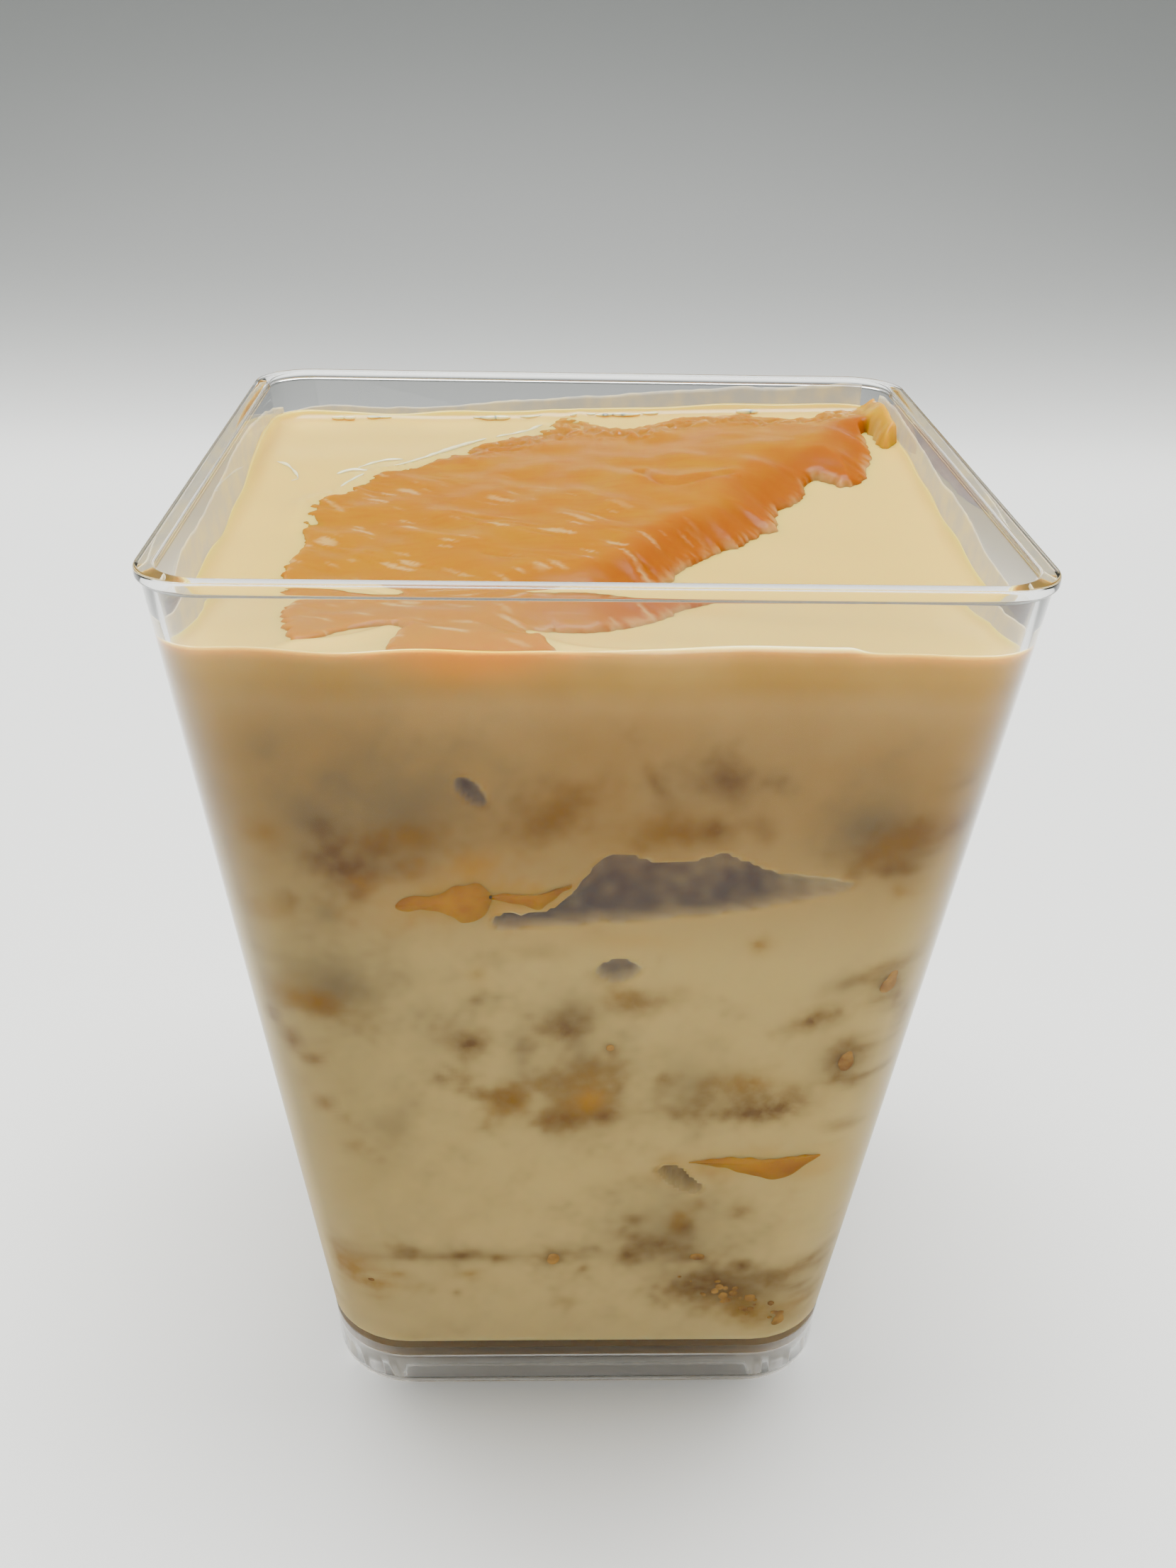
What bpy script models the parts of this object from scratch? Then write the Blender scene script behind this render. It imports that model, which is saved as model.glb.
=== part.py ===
"""Mango float in a clear square dessert cup.

A tapered cup with a rim lip and a hollow foot holds cream, three layers of soaked graham
crackers, two layers of mango strips and one large slice of ripe mango laid on top. Each layer
runs through the cream and reaches the wall where it shows. Air pockets are hollows in the
cream's front face.

The origin is the middle of the cup's footprint, +Z is up and the front faces -Y.
"""

import math
import random

import bmesh
import bpy
from mathutils import Matrix, Vector

MM = 0.001
CLEARANCE = 0.3 * MM

# Cup
CUP_HEIGHT = 84.8 * MM
RIM_WIDTH = 66.0 * MM
LIP_HEIGHT = 0.9 * MM
BODY_TOP_WIDTH = 65.2 * MM
BODY_FOOT_WIDTH = 47.7 * MM
FOOT_WIDTH = 47.3 * MM
FOOT_HEIGHT = 5.1 * MM
WALL = 1.1 * MM
FLOOR_TOP = 4.8 * MM
FLOOR_THICKNESS = 1.1 * MM
RIM_CORNER_RADIUS = 5.0 * MM
FOOT_CORNER_RADIUS = 7.8 * MM
LEAST_RADIUS = 2.0 * MM
LEAST_RADIUS_SHARE = 0.3
FLOOR_FILLET = 1.0 * MM
EDGE_ROUNDING = 0.25 * MM
CORNER_STEPS = 6
FILLET_STEPS = 2

# Cream
CREAM_LEVEL = 79.2 * MM
MENISCUS_RISE = 0.6 * MM
MENISCUS_REACH = 1.2 * MM
BACK_RISE = 0.9 * MM
BACK_RISE_START = -10.0 * MM
BACK_RISE_END = 31.0 * MM
CORNER_RISE = 1.3 * MM
CORNER_RISE_START = 12.0 * MM
CORNER_RISE_END = 58.0 * MM
CREAM_TOP_INSETS = [0.0, 0.5 * MM, 1.3 * MM, 2.8 * MM, 6.0 * MM, 11.0 * MM, 17.0 * MM, 24.0 * MM]

# Large mango slice: pairs of points on its back-left and front-right edges, front to back
SLICE_EDGES = [
    ((-22.4, -28.2), (-20.6, -28.2)),
    ((-23.4, -23.5), (-16.6, -25.2)),
    ((-23.9, -18.0), (-13.6, -30.3)),
    ((-23.8, -11.5), (-5.4, -30.3)),
    ((-23.4, -5.0), (-2.6, -26.2)),
    ((-22.4, 1.2), (2.6, -23.6)),
    ((-17.6, 9.6), (5.4, -17.2)),
    ((-11.4, 19.4), (10.6, -9.2)),
    ((-4.8, 28.4), (15.4, -0.6)),
    ((3.8, 27.9), (19.4, 5.4)),
    ((11.4, 29.0), (23.6, 11.0)),
    ((19.0, 29.9), (27.2, 12.6)),
    ((25.0, 30.3), (29.2, 19.4)),
    ((28.0, 30.3), (30.6, 26.0)),
]
SLICE_LENGTH_STEPS = 39
SLICE_WIDTH_STEPS = 10
SLICE_THICKNESS = 3.6 * MM
SLICE_RIM_THICKNESS = 1.5 * MM
SLICE_LOW_EDGE = 0.3 * MM
SLICE_RIDGE = 2.0 * MM
SLICE_RIDGE_PLACE = 0.86
SLICE_RIDGE_FALL = 0.55
SLICE_RIDGE_FULL = 0.45
SLICE_END_START = 0.6
SLICE_END_FALL = 0.8 * MM
SLICE_RIM_BAND = 0.3
SLICE_LENGTH_TO_WIDTH = 2.2
LOBE_DEPTH = 1.6 * MM
LOBE_REACH = 4.5 * MM
LOBE_MIDDLE = -9.5 * MM
LOBE_HALF_WIDTH = 5.6 * MM
LOBE_LEAST = 0.4 * MM
OPEN_TOP_CUT = 8.0 * MM
SLICE_GROW_MARGIN = 1.3
MERGE_DISTANCE = 0.01 * MM
FLAT_ANGLE = math.radians(0.5)
SHARP_ANGLE = math.radians(35)

# Cracker layers: the height and thickness of the core, and the broken pieces at the front wall
# as (across, height, width, thickness, tilt in degrees), across and height in mm from the origin
CRACKER_LAYERS = {
    "graham_layer_lower": {
        "core": (10.8, 6.0),
        "front": [
            (-10.4, 15.6, 19.0, 1.5, 0),
            (-21.6, 14.3, 3.6, 5.0, 55),
            (8.4, 18.2, 8.5, 6.4, -12),
            (15.2, 10.0, 9.5, 5.0, -35),
        ],
    },
    "graham_layer_middle": {
        "core": (39.0, 6.6),
        "front": [
            (-22.6, 46.4, 5.0, 3.4, -8),
            (-9.8, 41.4, 3.6, 3.2, 0),
            (-8.6, 36.6, 6.6, 3.2, 14),
            (-1.2, 42.1, 4.4, 5.4, 4),
            (-1.4, 36.2, 6.4, 6.4, 0),
            (12.8, 36.6, 11.0, 5.0, -6),
            (22.4, 40.8, 3.4, 3.6, 20),
            (22.8, 48.2, 6.0, 3.8, 25),
        ],
    },
    "graham_layer_upper": {
        "core": (63.8, 4.6),
        "front": [
            (-23.6, 63.7, 4.0, 2.6, 0),
            (-15.8, 63.0, 8.4, 4.6, 8),
            (-2.0, 66.3, 6.0, 3.0, 42),
            (8.0, 64.4, 6.4, 3.0, 0),
            (9.6, 68.0, 3.4, 3.0, 12),
            (22.4, 63.2, 5.6, 4.4, -18),
        ],
    },
}
PIECE_DEPTH = 12.0 * MM
PIECE_CHAMFER = 0.5 * MM
PIECE_JITTER = 0.09
POKE_THROUGH = 1.0 * MM
CORE_SPREAD = 0.56
CORE_PLACE = 0.62
CORE_OVERLAP = 1.5
CORE_LEAN = 4
CORE_TURN = 12
UNSEEN_WIDTH = (5.0 * MM, 10.0 * MM)
UNSEEN_THICKNESS = (3.0 * MM, 4.8 * MM)
UNSEEN_TILT = 16
UNSEEN_PER_SIDE = 2
UNSEEN_REACH = 0.62
UNSEEN_SHIFT = 0.2

# Mango layers: the core's height, and strips at the front wall as for the crackers
MANGO_LAYERS = {
    "mango_layer_lower": {
        "core": 27.6,
        "front": [(15.2, 27.5, 12.2, 2.2, 1)],
    },
    "mango_layer_upper": {
        "core": 56.8,
        "front": [(-12.0, 56.3, 7.4, 2.8, 4), (-6.2, 56.8, 8.4, 1.7, 4)],
    },
}
STRIP_THICKNESS = 2.4 * MM
STRIP_WIDTH = 11.0 * MM
STRIP_DEPTH = 16.0 * MM
STRIP_SIDES = 10
STRIP_SECTION = ((0.5, 0.94), (0.1, 1.0), (-0.5, 0.6))
STRIP_END_POWER = 0.7
STRIP_SIDE_POWER = 0.5
STRIP_LEVEL_STEP = 0.35 * MM
STRIP_TURN = 30
STRIP_TILT = 3
STRIP_SHIFT = 0.3
MIDDLE_STRIP_PLACE = 0.42
MIDDLE_STRIP_SIZE = (2.3, 1.9)

# Air pockets in the front face of the cream: (across, height, half width, half height, depth, tilt)
AIR_POCKETS = [
    (3.2, 58.2, 5.2, 3.1, 3.0, 8),
    (9.6, 58.2, 6.6, 2.7, 2.8, -2),
    (15.2, 57.7, 5.2, 1.5, 1.8, -8),
    (-4.0, 55.5, 4.4, 0.9, 1.4, 12),
    (-9.4, 67.0, 1.4, 0.75, 1.0, -38),
    (2.2, 49.6, 1.75, 0.85, 1.0, 0),
    (8.0, 25.6, 1.9, 0.85, 1.0, -28),
]
POCKET_SEGMENTS = 12
POCKET_RINGS = 6

# Finishes: sRGB colour, roughness, alpha
FINISHES = {
    "clear_polystyrene": ("E9F0F0", 0.04, 0.3),
    "cream": ("E6D9B4", 0.3, 1.0),
    "mango_flesh": ("EC9C16", 0.25, 1.0),
    "graham_cracker": ("A9783A", 0.75, 1.0),
}


def clear_scene():
    """Removes the objects the file opened with."""
    for item in list(bpy.data.objects):
        bpy.data.objects.remove(item, do_unlink=True)


def finish_material(name):
    """A Principled material in one of the finishes above."""
    colour_code, roughness, alpha = FINISHES[name]
    channels = [int(colour_code[i : i + 2], 16) / 255 for i in (0, 2, 4)]
    linear = [c / 12.92 if c <= 0.04045 else ((c + 0.055) / 1.055) ** 2.4 for c in channels]
    material = bpy.data.materials.get(name) or bpy.data.materials.new(name)
    material.use_nodes = True
    shader = material.node_tree.nodes["Principled BSDF"]
    shader.inputs["Base Color"].default_value = (*linear, 1.0)
    shader.inputs["Roughness"].default_value = roughness
    shader.inputs["Metallic"].default_value = 0.0
    shader.inputs["Alpha"].default_value = alpha
    return material


def object_from(shape, name):
    """Turns a bmesh into an object."""
    bmesh.ops.recalc_face_normals(shape, faces=shape.faces)
    data = bpy.data.meshes.new(name)
    shape.to_mesh(data)
    shape.free()
    item = bpy.data.objects.new(name, data)
    bpy.context.scene.collection.objects.link(item)
    return item


def lerp(start, end, share):
    """The value that lies the given share of the way from start to end."""
    return start + (end - start) * share


def smooth_step(value, low, high):
    """Rises smoothly from 0 at low to 1 at high."""
    share = min(1.0, max(0.0, (value - low) / (high - low)))
    return share * share * (3 - 2 * share)


def outer_half(z):
    """Half the cup's outer width at height z: a nearly upright foot, then the tapered body."""
    if z < FOOT_HEIGHT:
        return lerp(FOOT_WIDTH, BODY_FOOT_WIDTH, z / FOOT_HEIGHT) / 2
    share = min(1.0, (z - FOOT_HEIGHT) / (CUP_HEIGHT - LIP_HEIGHT - FOOT_HEIGHT))
    return lerp(BODY_FOOT_WIDTH, BODY_TOP_WIDTH, share) / 2


def corner_radius(z):
    """The outer corner radius, which shrinks from the foot to the rim."""
    return lerp(FOOT_CORNER_RADIUS, RIM_CORNER_RADIUS, z / CUP_HEIGHT)


def square_ring(z, inset):
    """A square ring with round corners, that far in from the cup's outer face at height z."""
    half = outer_half(z) - inset
    radius = max(corner_radius(z) - inset, min(LEAST_RADIUS, LEAST_RADIUS_SHARE * half))
    points = []
    for corner in range(4):
        start = corner * math.pi / 2
        middle = Vector((math.cos(start + math.pi / 4), math.sin(start + math.pi / 4), 0))
        middle *= (half - radius) * math.sqrt(2)
        for step in range(CORNER_STEPS + 1):
            angle = start + step / CORNER_STEPS * math.pi / 2
            edge = Vector((math.cos(angle), math.sin(angle), 0)) * radius
            points.append(middle + edge + Vector((0, 0, z)))
    return points


def loft(rings):
    """A closed skin through rings of equal point counts, with a face across each end."""
    shape = bmesh.new()
    loops = [[shape.verts.new(point) for point in ring] for ring in rings]
    for near, far in zip(loops, loops[1:]):
        for i, vertex in enumerate(near):
            j = (i + 1) % len(near)
            shape.faces.new((vertex, near[j], far[j], far[i]))
    shape.faces.new(loops[0])
    shape.faces.new(loops[-1])
    return shape


def arc(inset, z, radius, start, end):
    """Points of an arc in the cup's section, about a centre given as inset and height."""
    points = []
    for step in range(FILLET_STEPS + 1):
        angle = math.radians(lerp(start, end, step / FILLET_STEPS))
        points.append((inset + radius * math.cos(angle), z + radius * math.sin(angle)))
    return points


def cup():
    """The clear cup: a hollow foot, a tapered body and a small lip, 1.1 mm thick all over."""
    lip_out = (BODY_TOP_WIDTH - RIM_WIDTH) / 2
    underside = FLOOR_TOP - FLOOR_THICKNESS
    lip_base = CUP_HEIGHT - LIP_HEIGHT
    r = EDGE_ROUNDING
    section = [(WALL + FLOOR_FILLET, underside)]
    section += [(WALL, underside - FLOOR_FILLET / 2), (WALL, r)]
    section += arc(WALL - r, r, r, 0, -90)
    section += arc(r, r, r, -90, -180)
    section += [(0, FOOT_HEIGHT), (0, lip_base - r)]
    section += arc(lip_out + r, lip_base + r, r, -90, -180)
    section += arc(lip_out + r, CUP_HEIGHT - r, r, 180, 90)
    section += arc(WALL - r, CUP_HEIGHT - r, r, 90, 0)
    section += arc(WALL + FLOOR_FILLET, FLOOR_TOP + FLOOR_FILLET, FLOOR_FILLET, 180, 270)
    return object_from(loft([square_ring(z, inset) for inset, z in section]), "cup")


def surface_rise(x, y):
    """How far the cream's surface stands above its level: it climbs to the back right corner."""
    back = BACK_RISE * smooth_step(y, BACK_RISE_START, BACK_RISE_END)
    return back + CORNER_RISE * smooth_step(x + y, CORNER_RISE_START, CORNER_RISE_END)


def contents_block(top_z=None):
    """The space inside the cup, one clearance in from the wall and the floor.

    Without top_z its top is the cream's surface, with a meniscus at the wall.
    """
    inset = WALL + CLEARANCE
    bottom = FLOOR_TOP + CLEARANCE
    section = arc(inset + FLOOR_FILLET, bottom + FLOOR_FILLET, FLOOR_FILLET, 270, 180)
    rings = [square_ring(z, depth) for depth, z in section]
    if top_z:
        rings.append(square_ring(top_z, inset))
        return loft(rings)
    for depth in CREAM_TOP_INSETS:
        ring = square_ring(CREAM_LEVEL, inset + depth)
        for point in ring:
            point.z += surface_rise(point.x, point.y)
            point.z += MENISCUS_RISE * math.exp(-depth / MENISCUS_REACH)
        rings.append(ring)
    shape = loft(rings)
    shape.faces.ensure_lookup_table()
    bmesh.ops.poke(shape, faces=[shape.faces[-1]])
    return shape


def spline_point(points, share):
    """A point on the smooth curve through the given points, the given share of the way along."""
    place = share * (len(points) - 1)
    i = min(int(place), len(points) - 2)
    t = place - i
    before = points[max(i - 1, 0)]
    after = points[min(i + 2, len(points) - 1)]
    here, there = points[i], points[i + 1]
    return 0.5 * (
        2 * here
        + (there - before) * t
        + (2 * before - 5 * here + 4 * there - after) * t**2
        + (3 * here - before - 3 * there + after) * t**3
    )


def slice_height(x, y, along, across):
    """Top and bottom heights of the mango slice.

    It lies low along its back-left edge, rises to a ridge near its front-right edge, climbs with
    the cream at the back right, and at the front a lobe of it droops against the wall.
    """
    base = CREAM_LEVEL + surface_rise(x, y)
    ridge = SLICE_RIDGE * smooth_step(along, 0.0, SLICE_RIDGE_FULL)
    ridge -= SLICE_END_FALL * smooth_step(along, SLICE_END_START, 1.0)
    climb = smooth_step(across, 0.0, SLICE_RIDGE_PLACE)
    fall = smooth_step(across, SLICE_RIDGE_PLACE, 1.0)
    top = base + SLICE_LOW_EDGE + ridge * (climb - SLICE_RIDGE_FALL * fall)
    wall = outer_half(CREAM_LEVEL) - WALL
    near_wall = smooth_step(-y, wall - LOBE_REACH, wall)
    lobe = math.sqrt(max(0.0, 1 - ((x - LOBE_MIDDLE) / LOBE_HALF_WIDTH) ** 2))
    top = lerp(top, base, near_wall)
    rim = lerp(SLICE_RIM_THICKNESS, LOBE_LEAST + LOBE_DEPTH * lobe, near_wall)
    from_end = min(along, 1 - along) * SLICE_LENGTH_TO_WIDTH
    fullness = math.sqrt(smooth_step(min(across, 1 - across, from_end), 0.0, SLICE_RIM_BAND))
    return top, min(top, base) - lerp(rim, SLICE_THICKNESS, fullness)


def mango_slice(grow=0.0):
    """The large slice as a closed sheet; grown, it is the hollow that the slice needs."""
    left = [Vector(pair[0]) * MM for pair in SLICE_EDGES]
    right = [Vector(pair[1]) * MM for pair in SLICE_EDGES]
    shape = bmesh.new()
    grid = []
    for i in range(SLICE_LENGTH_STEPS + 1):
        along = i / SLICE_LENGTH_STEPS
        back_left, front_right = spline_point(left, along), spline_point(right, along)
        row = []
        for j in range(SLICE_WIDTH_STEPS + 1):
            across = j / SLICE_WIDTH_STEPS
            x, y = back_left.lerp(front_right, across)
            row.append([shape.verts.new((x, y, z)) for z in slice_height(x, y, along, across)])
        grid.append(row)
    for near, far in zip(grid, grid[1:]):
        for j in range(SLICE_WIDTH_STEPS):
            for k in (0, 1):
                shape.faces.new((near[j][k], near[j + 1][k], far[j + 1][k], far[j][k]))
        for j in (0, SLICE_WIDTH_STEPS):
            shape.faces.new((near[j][0], near[j][1], far[j][1], far[j][0]))
    for row in (grid[0], grid[-1]):
        for a, b in zip(row, row[1:]):
            shape.faces.new((a[0], b[0], b[1], a[1]))
    bmesh.ops.recalc_face_normals(shape, faces=shape.faces)
    bmesh.ops.triangulate(shape, faces=shape.faces)
    if grow:
        shape.normal_update()
        outward = {vertex: vertex.normal.copy() for vertex in shape.verts}
        for vertex, normal in outward.items():
            vertex.co += normal * grow * SLICE_GROW_MARGIN
        for upper, _ in (pair for row in grid for pair in row):
            upper.co.z += OPEN_TOP_CUT
    return shape


def hull(points, place):
    """The convex solid round the points, put in place."""
    shape = bmesh.new()
    for point in points:
        shape.verts.new(place @ point)
    result = bmesh.ops.convex_hull(shape, input=shape.verts)
    loose = [v for v in result["geom_interior"] if isinstance(v, bmesh.types.BMVert)]
    bmesh.ops.delete(shape, geom=loose, context="VERTS")
    return shape


def cracker_piece(size, place, seed, grow, chamfer=0.0):
    """A broken piece of soaked cracker: a box with uneven corners, its edges chamfered or plain."""
    draw = random.Random(seed)
    halves = Vector(size) / 2
    points = []
    for corner in range(8):
        signs = Vector([1 if corner >> axis & 1 else -1 for axis in range(3)])
        uneven = Vector([1 + draw.uniform(-PIECE_JITTER, PIECE_JITTER) for _ in range(3)])
        tip = Vector([signs[a] * (halves[a] * uneven[a] + grow) for a in range(3)])
        for axis in range(3) if chamfer else ():
            cut = tip.copy()
            cut[axis] -= signs[axis] * chamfer
            points.append(cut)
        if not chamfer:
            points.append(tip)
    return hull(points, place)


def signed_power(value, power):
    """The power of a number's size, with its sign kept."""
    return math.copysign(abs(value) ** power, value)


def mango_strip(width, depth, thickness, place, grow):
    """A strip of mango: a flat top and a belly, with a rounded outline."""
    points = []
    for level, share in STRIP_SECTION:
        for side in range(STRIP_SIDES):
            angle = 2 * math.pi * side / STRIP_SIDES
            x = signed_power(math.cos(angle), STRIP_END_POWER) * (width / 2 * share + grow)
            y = signed_power(math.sin(angle), STRIP_SIDE_POWER) * (depth / 2 * share + grow)
            points.append(Vector((x, y, level * (thickness + 2 * grow))))
    return hull(points, place)


def wall_place(side, across, height, tilt, depth, core_height=None):
    """Where a piece lies whose end goes just through the contents' face on one side of the cup.

    Side 0 is the front, then right, back and left. A piece above or below the core slants to it.
    """
    reach = outer_half(height) - WALL + POKE_THROUGH
    turn = Matrix.Rotation(side * math.pi / 2, 4, "Z")
    shift = Matrix.Translation((across, -reach, height))
    slant = math.atan2(core_height - height, depth) if core_height else 0.0
    inward = Matrix.Rotation(slant, 4, "X") @ Matrix.Translation((0, depth / 2, 0))
    return turn @ shift @ inward @ Matrix.Rotation(math.radians(-tilt), 4, "Y")


def cracker_layer_shapes(name, grow):
    """The pieces of one cracker layer: a core, the shown front pieces and like ones elsewhere."""
    plan = CRACKER_LAYERS[name]
    height, thickness = plan["core"][0] * MM, plan["core"][1] * MM
    draw = random.Random(name)
    shapes = []
    span = (outer_half(height) - WALL) * CORE_SPREAD
    for column in (-1, 1):
        for row in (-1, 1):
            lean = Matrix.Rotation(math.radians(draw.uniform(-CORE_LEAN, CORE_LEAN)), 4, "X")
            turn = Matrix.Rotation(math.radians(draw.uniform(-CORE_TURN, CORE_TURN)), 4, "Z")
            middle = (column * span * CORE_PLACE, row * span * CORE_PLACE, height)
            place = Matrix.Translation(middle) @ turn @ lean
            size = (span * CORE_OVERLAP, span * CORE_OVERLAP, thickness)
            shapes.append(cracker_piece(size, place, draw.random(), grow))
    for across, level, width, tall, tilt in plan["front"]:
        place = wall_place(0, across * MM, level * MM, tilt, PIECE_DEPTH, height)
        size = (width * MM, PIECE_DEPTH, tall * MM)
        shapes.append(cracker_piece(size, place, draw.random(), grow, PIECE_CHAMFER))
    for side in (1, 2, 3):
        for count in range(UNSEEN_PER_SIDE):
            level = height + draw.uniform(-UNSEEN_SHIFT, UNSEEN_SHIFT) * thickness
            limit = UNSEEN_REACH * outer_half(level)
            share = (count + draw.uniform(UNSEEN_SHIFT, 1 - UNSEEN_SHIFT)) / UNSEEN_PER_SIDE
            across = lerp(-limit, limit, share)
            place = wall_place(side, across, level, draw.uniform(-UNSEEN_TILT, UNSEEN_TILT), PIECE_DEPTH)
            size = (draw.uniform(*UNSEEN_WIDTH), PIECE_DEPTH, draw.uniform(*UNSEEN_THICKNESS))
            shapes.append(cracker_piece(size, place, draw.random(), grow))
    return shapes


def mango_layer_shapes(name, grow):
    """The strips of one mango layer: four in the middle, those shown at the front, one a side."""
    plan = MANGO_LAYERS[name]
    height = plan["core"] * MM
    draw = random.Random(name)
    shapes = []
    reach = outer_half(height) * MIDDLE_STRIP_PLACE
    width, depth = [reach * share for share in MIDDLE_STRIP_SIZE]
    for quarter in range(4):
        angle = (quarter + 0.5) * math.pi / 2
        level = height + (quarter - 1.5) * STRIP_LEVEL_STEP
        middle = Matrix.Translation((reach * math.cos(angle), reach * math.sin(angle), level))
        turn = Matrix.Rotation(math.radians(draw.uniform(-STRIP_TURN, STRIP_TURN)), 4, "Z")
        shapes.append(mango_strip(width, depth, STRIP_THICKNESS, middle @ turn, grow))
    for across, level, width, tall, tilt in plan["front"]:
        place = wall_place(0, across * MM, level * MM, tilt, STRIP_DEPTH)
        shapes.append(mango_strip(width * MM, STRIP_DEPTH, tall * MM, place, grow))
    for side in (1, 2, 3):
        across = draw.uniform(-STRIP_SHIFT, STRIP_SHIFT) * outer_half(height)
        level = height + (side - 2) * STRIP_LEVEL_STEP / 2
        place = wall_place(side, across, level, draw.uniform(-STRIP_TILT, STRIP_TILT), STRIP_DEPTH)
        shapes.append(mango_strip(STRIP_WIDTH, STRIP_DEPTH, STRIP_THICKNESS, place, grow))
    return shapes


def air_pocket_shapes():
    """Egg-shaped hollows whose middles lie on the cream's front face."""
    shapes = []
    for across, height, half_width, half_height, depth, tilt in AIR_POCKETS:
        face = outer_half(height * MM) - WALL - CLEARANCE
        place = Matrix.Translation((across * MM, -face, height * MM))
        place @= Matrix.Rotation(math.radians(-tilt), 4, "Y")
        place @= Matrix.Diagonal((half_width * MM, depth * MM, half_height * MM, 1))
        shape = bmesh.new()
        bmesh.ops.create_uvsphere(
            shape, u_segments=POCKET_SEGMENTS, v_segments=POCKET_RINGS, radius=1, matrix=place
        )
        bmesh.ops.triangulate(shape, faces=shape.faces)
        shapes.append(shape)
    return shapes


def with_boolean(item, tools, operation):
    """Applies one Boolean of a group of tool objects to an object, then removes the tools."""
    group = bpy.data.collections.new("tools")
    bpy.context.scene.collection.children.link(group)
    for tool in tools:
        bpy.context.scene.collection.objects.unlink(tool)
        group.objects.link(tool)
    modifier = item.modifiers.new("join", "BOOLEAN")
    modifier.operation = operation
    modifier.operand_type = "COLLECTION"
    modifier.collection = group
    modifier.solver = "EXACT"
    bpy.context.view_layer.update()
    evaluated = item.evaluated_get(bpy.context.evaluated_depsgraph_get())
    result = bpy.data.meshes.new_from_object(evaluated)
    item.modifiers.clear()
    item.data = result
    for tool in tools:
        bpy.data.objects.remove(tool, do_unlink=True)
    bpy.data.collections.remove(group)
    keep_outer_shell(item)


def shells_of(shape):
    """The connected skins of a shape, each as a list of vertices."""
    shells = []
    seen = set()
    for start in shape.verts:
        if start in seen:
            continue
        seen.add(start)
        shell = [start]
        for vertex in shell:
            for link in vertex.link_edges:
                other = link.other_vert(vertex)
                if other not in seen:
                    seen.add(other)
                    shell.append(other)
        shells.append(shell)
    return shells


def span_of(shell):
    """The diagonal of a shell's box."""
    low = Vector([min(vertex.co[axis] for vertex in shell) for axis in range(3)])
    high = Vector([max(vertex.co[axis] for vertex in shell) for axis in range(3)])
    return (high - low).length


def keep_outer_shell(item):
    """Keeps the largest connected skin, without loose scraps or sealed hollows."""
    shape = bmesh.new()
    shape.from_mesh(item.data)
    shells = sorted(shells_of(shape), key=span_of, reverse=True)
    scraps = [vertex for shell in shells[1:] for vertex in shell]
    bmesh.ops.delete(shape, geom=scraps, context="VERTS")
    bmesh.ops.dissolve_degenerate(shape, edges=shape.edges, dist=MERGE_DISTANCE)
    bmesh.ops.dissolve_limit(shape, angle_limit=FLAT_ANGLE, verts=shape.verts, edges=shape.edges)
    bmesh.ops.triangulate(shape, faces=shape.faces)
    shape.to_mesh(item.data)
    shape.free()


def fused(shapes, name):
    """Joins shapes that cross into one closed body."""
    items = [object_from(shape, name if i == 0 else "piece") for i, shape in enumerate(shapes)]
    with_boolean(items[0], items[1:], "UNION")
    return items[0]


def finished(item, finish):
    """Gives an object made by Booleans its only material and its smooth shading."""
    item.data.materials.clear()
    item.data.materials.append(finish_material(finish))
    item.data.shade_smooth()
    item.data.set_sharp_from_angle(angle=SHARP_ANGLE)
    return item


def trimmed(item, finish):
    """Cuts a piece of the food to the space inside the cup, and finishes it."""
    block = object_from(contents_block(top_z=CUP_HEIGHT), "block")
    with_boolean(item, [block], "INTERSECT")
    return finished(item, finish)


def cream():
    """The cream, up to its level, cut round the layers, the slice and the air pockets."""
    item = object_from(contents_block(), "cream")
    hollows = [fused(cracker_layer_shapes(name, CLEARANCE), "hollow") for name in CRACKER_LAYERS]
    hollows += [fused(mango_layer_shapes(name, CLEARANCE), "hollow") for name in MANGO_LAYERS]
    hollows += [object_from(shape, "hollow") for shape in air_pocket_shapes()]
    hollows.append(object_from(mango_slice(grow=CLEARANCE), "hollow"))
    for hollow in hollows:
        with_boolean(item, [hollow], "DIFFERENCE")
    return finished(item, "cream")


def main():
    clear_scene()
    finished(cup(), "clear_polystyrene")
    cream()
    trimmed(object_from(mango_slice(), "mango_slice"), "mango_flesh")
    for name in MANGO_LAYERS:
        trimmed(fused(mango_layer_shapes(name, 0.0), name), "mango_flesh")
    for name in CRACKER_LAYERS:
        trimmed(fused(cracker_layer_shapes(name, 0.0), name), "graham_cracker")


main()
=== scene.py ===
"""A mango float in its clear square cup, built around the packed frame.

The cup, the cream, the slice and the layers stand where the frame's nodes are, at the same sizes.
Lengths are in metres, +Z is up and the shown side faces -Y.
"""

import math
import random

import bpy
import numpy as np
from bpy.props import FloatProperty, FloatVectorProperty, IntProperty, PointerProperty
from bpy.types import Operator, Panel, PropertyGroup
from mathutils import Matrix, Vector
from mathutils.geometry import delaunay_2d_cdt


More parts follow.
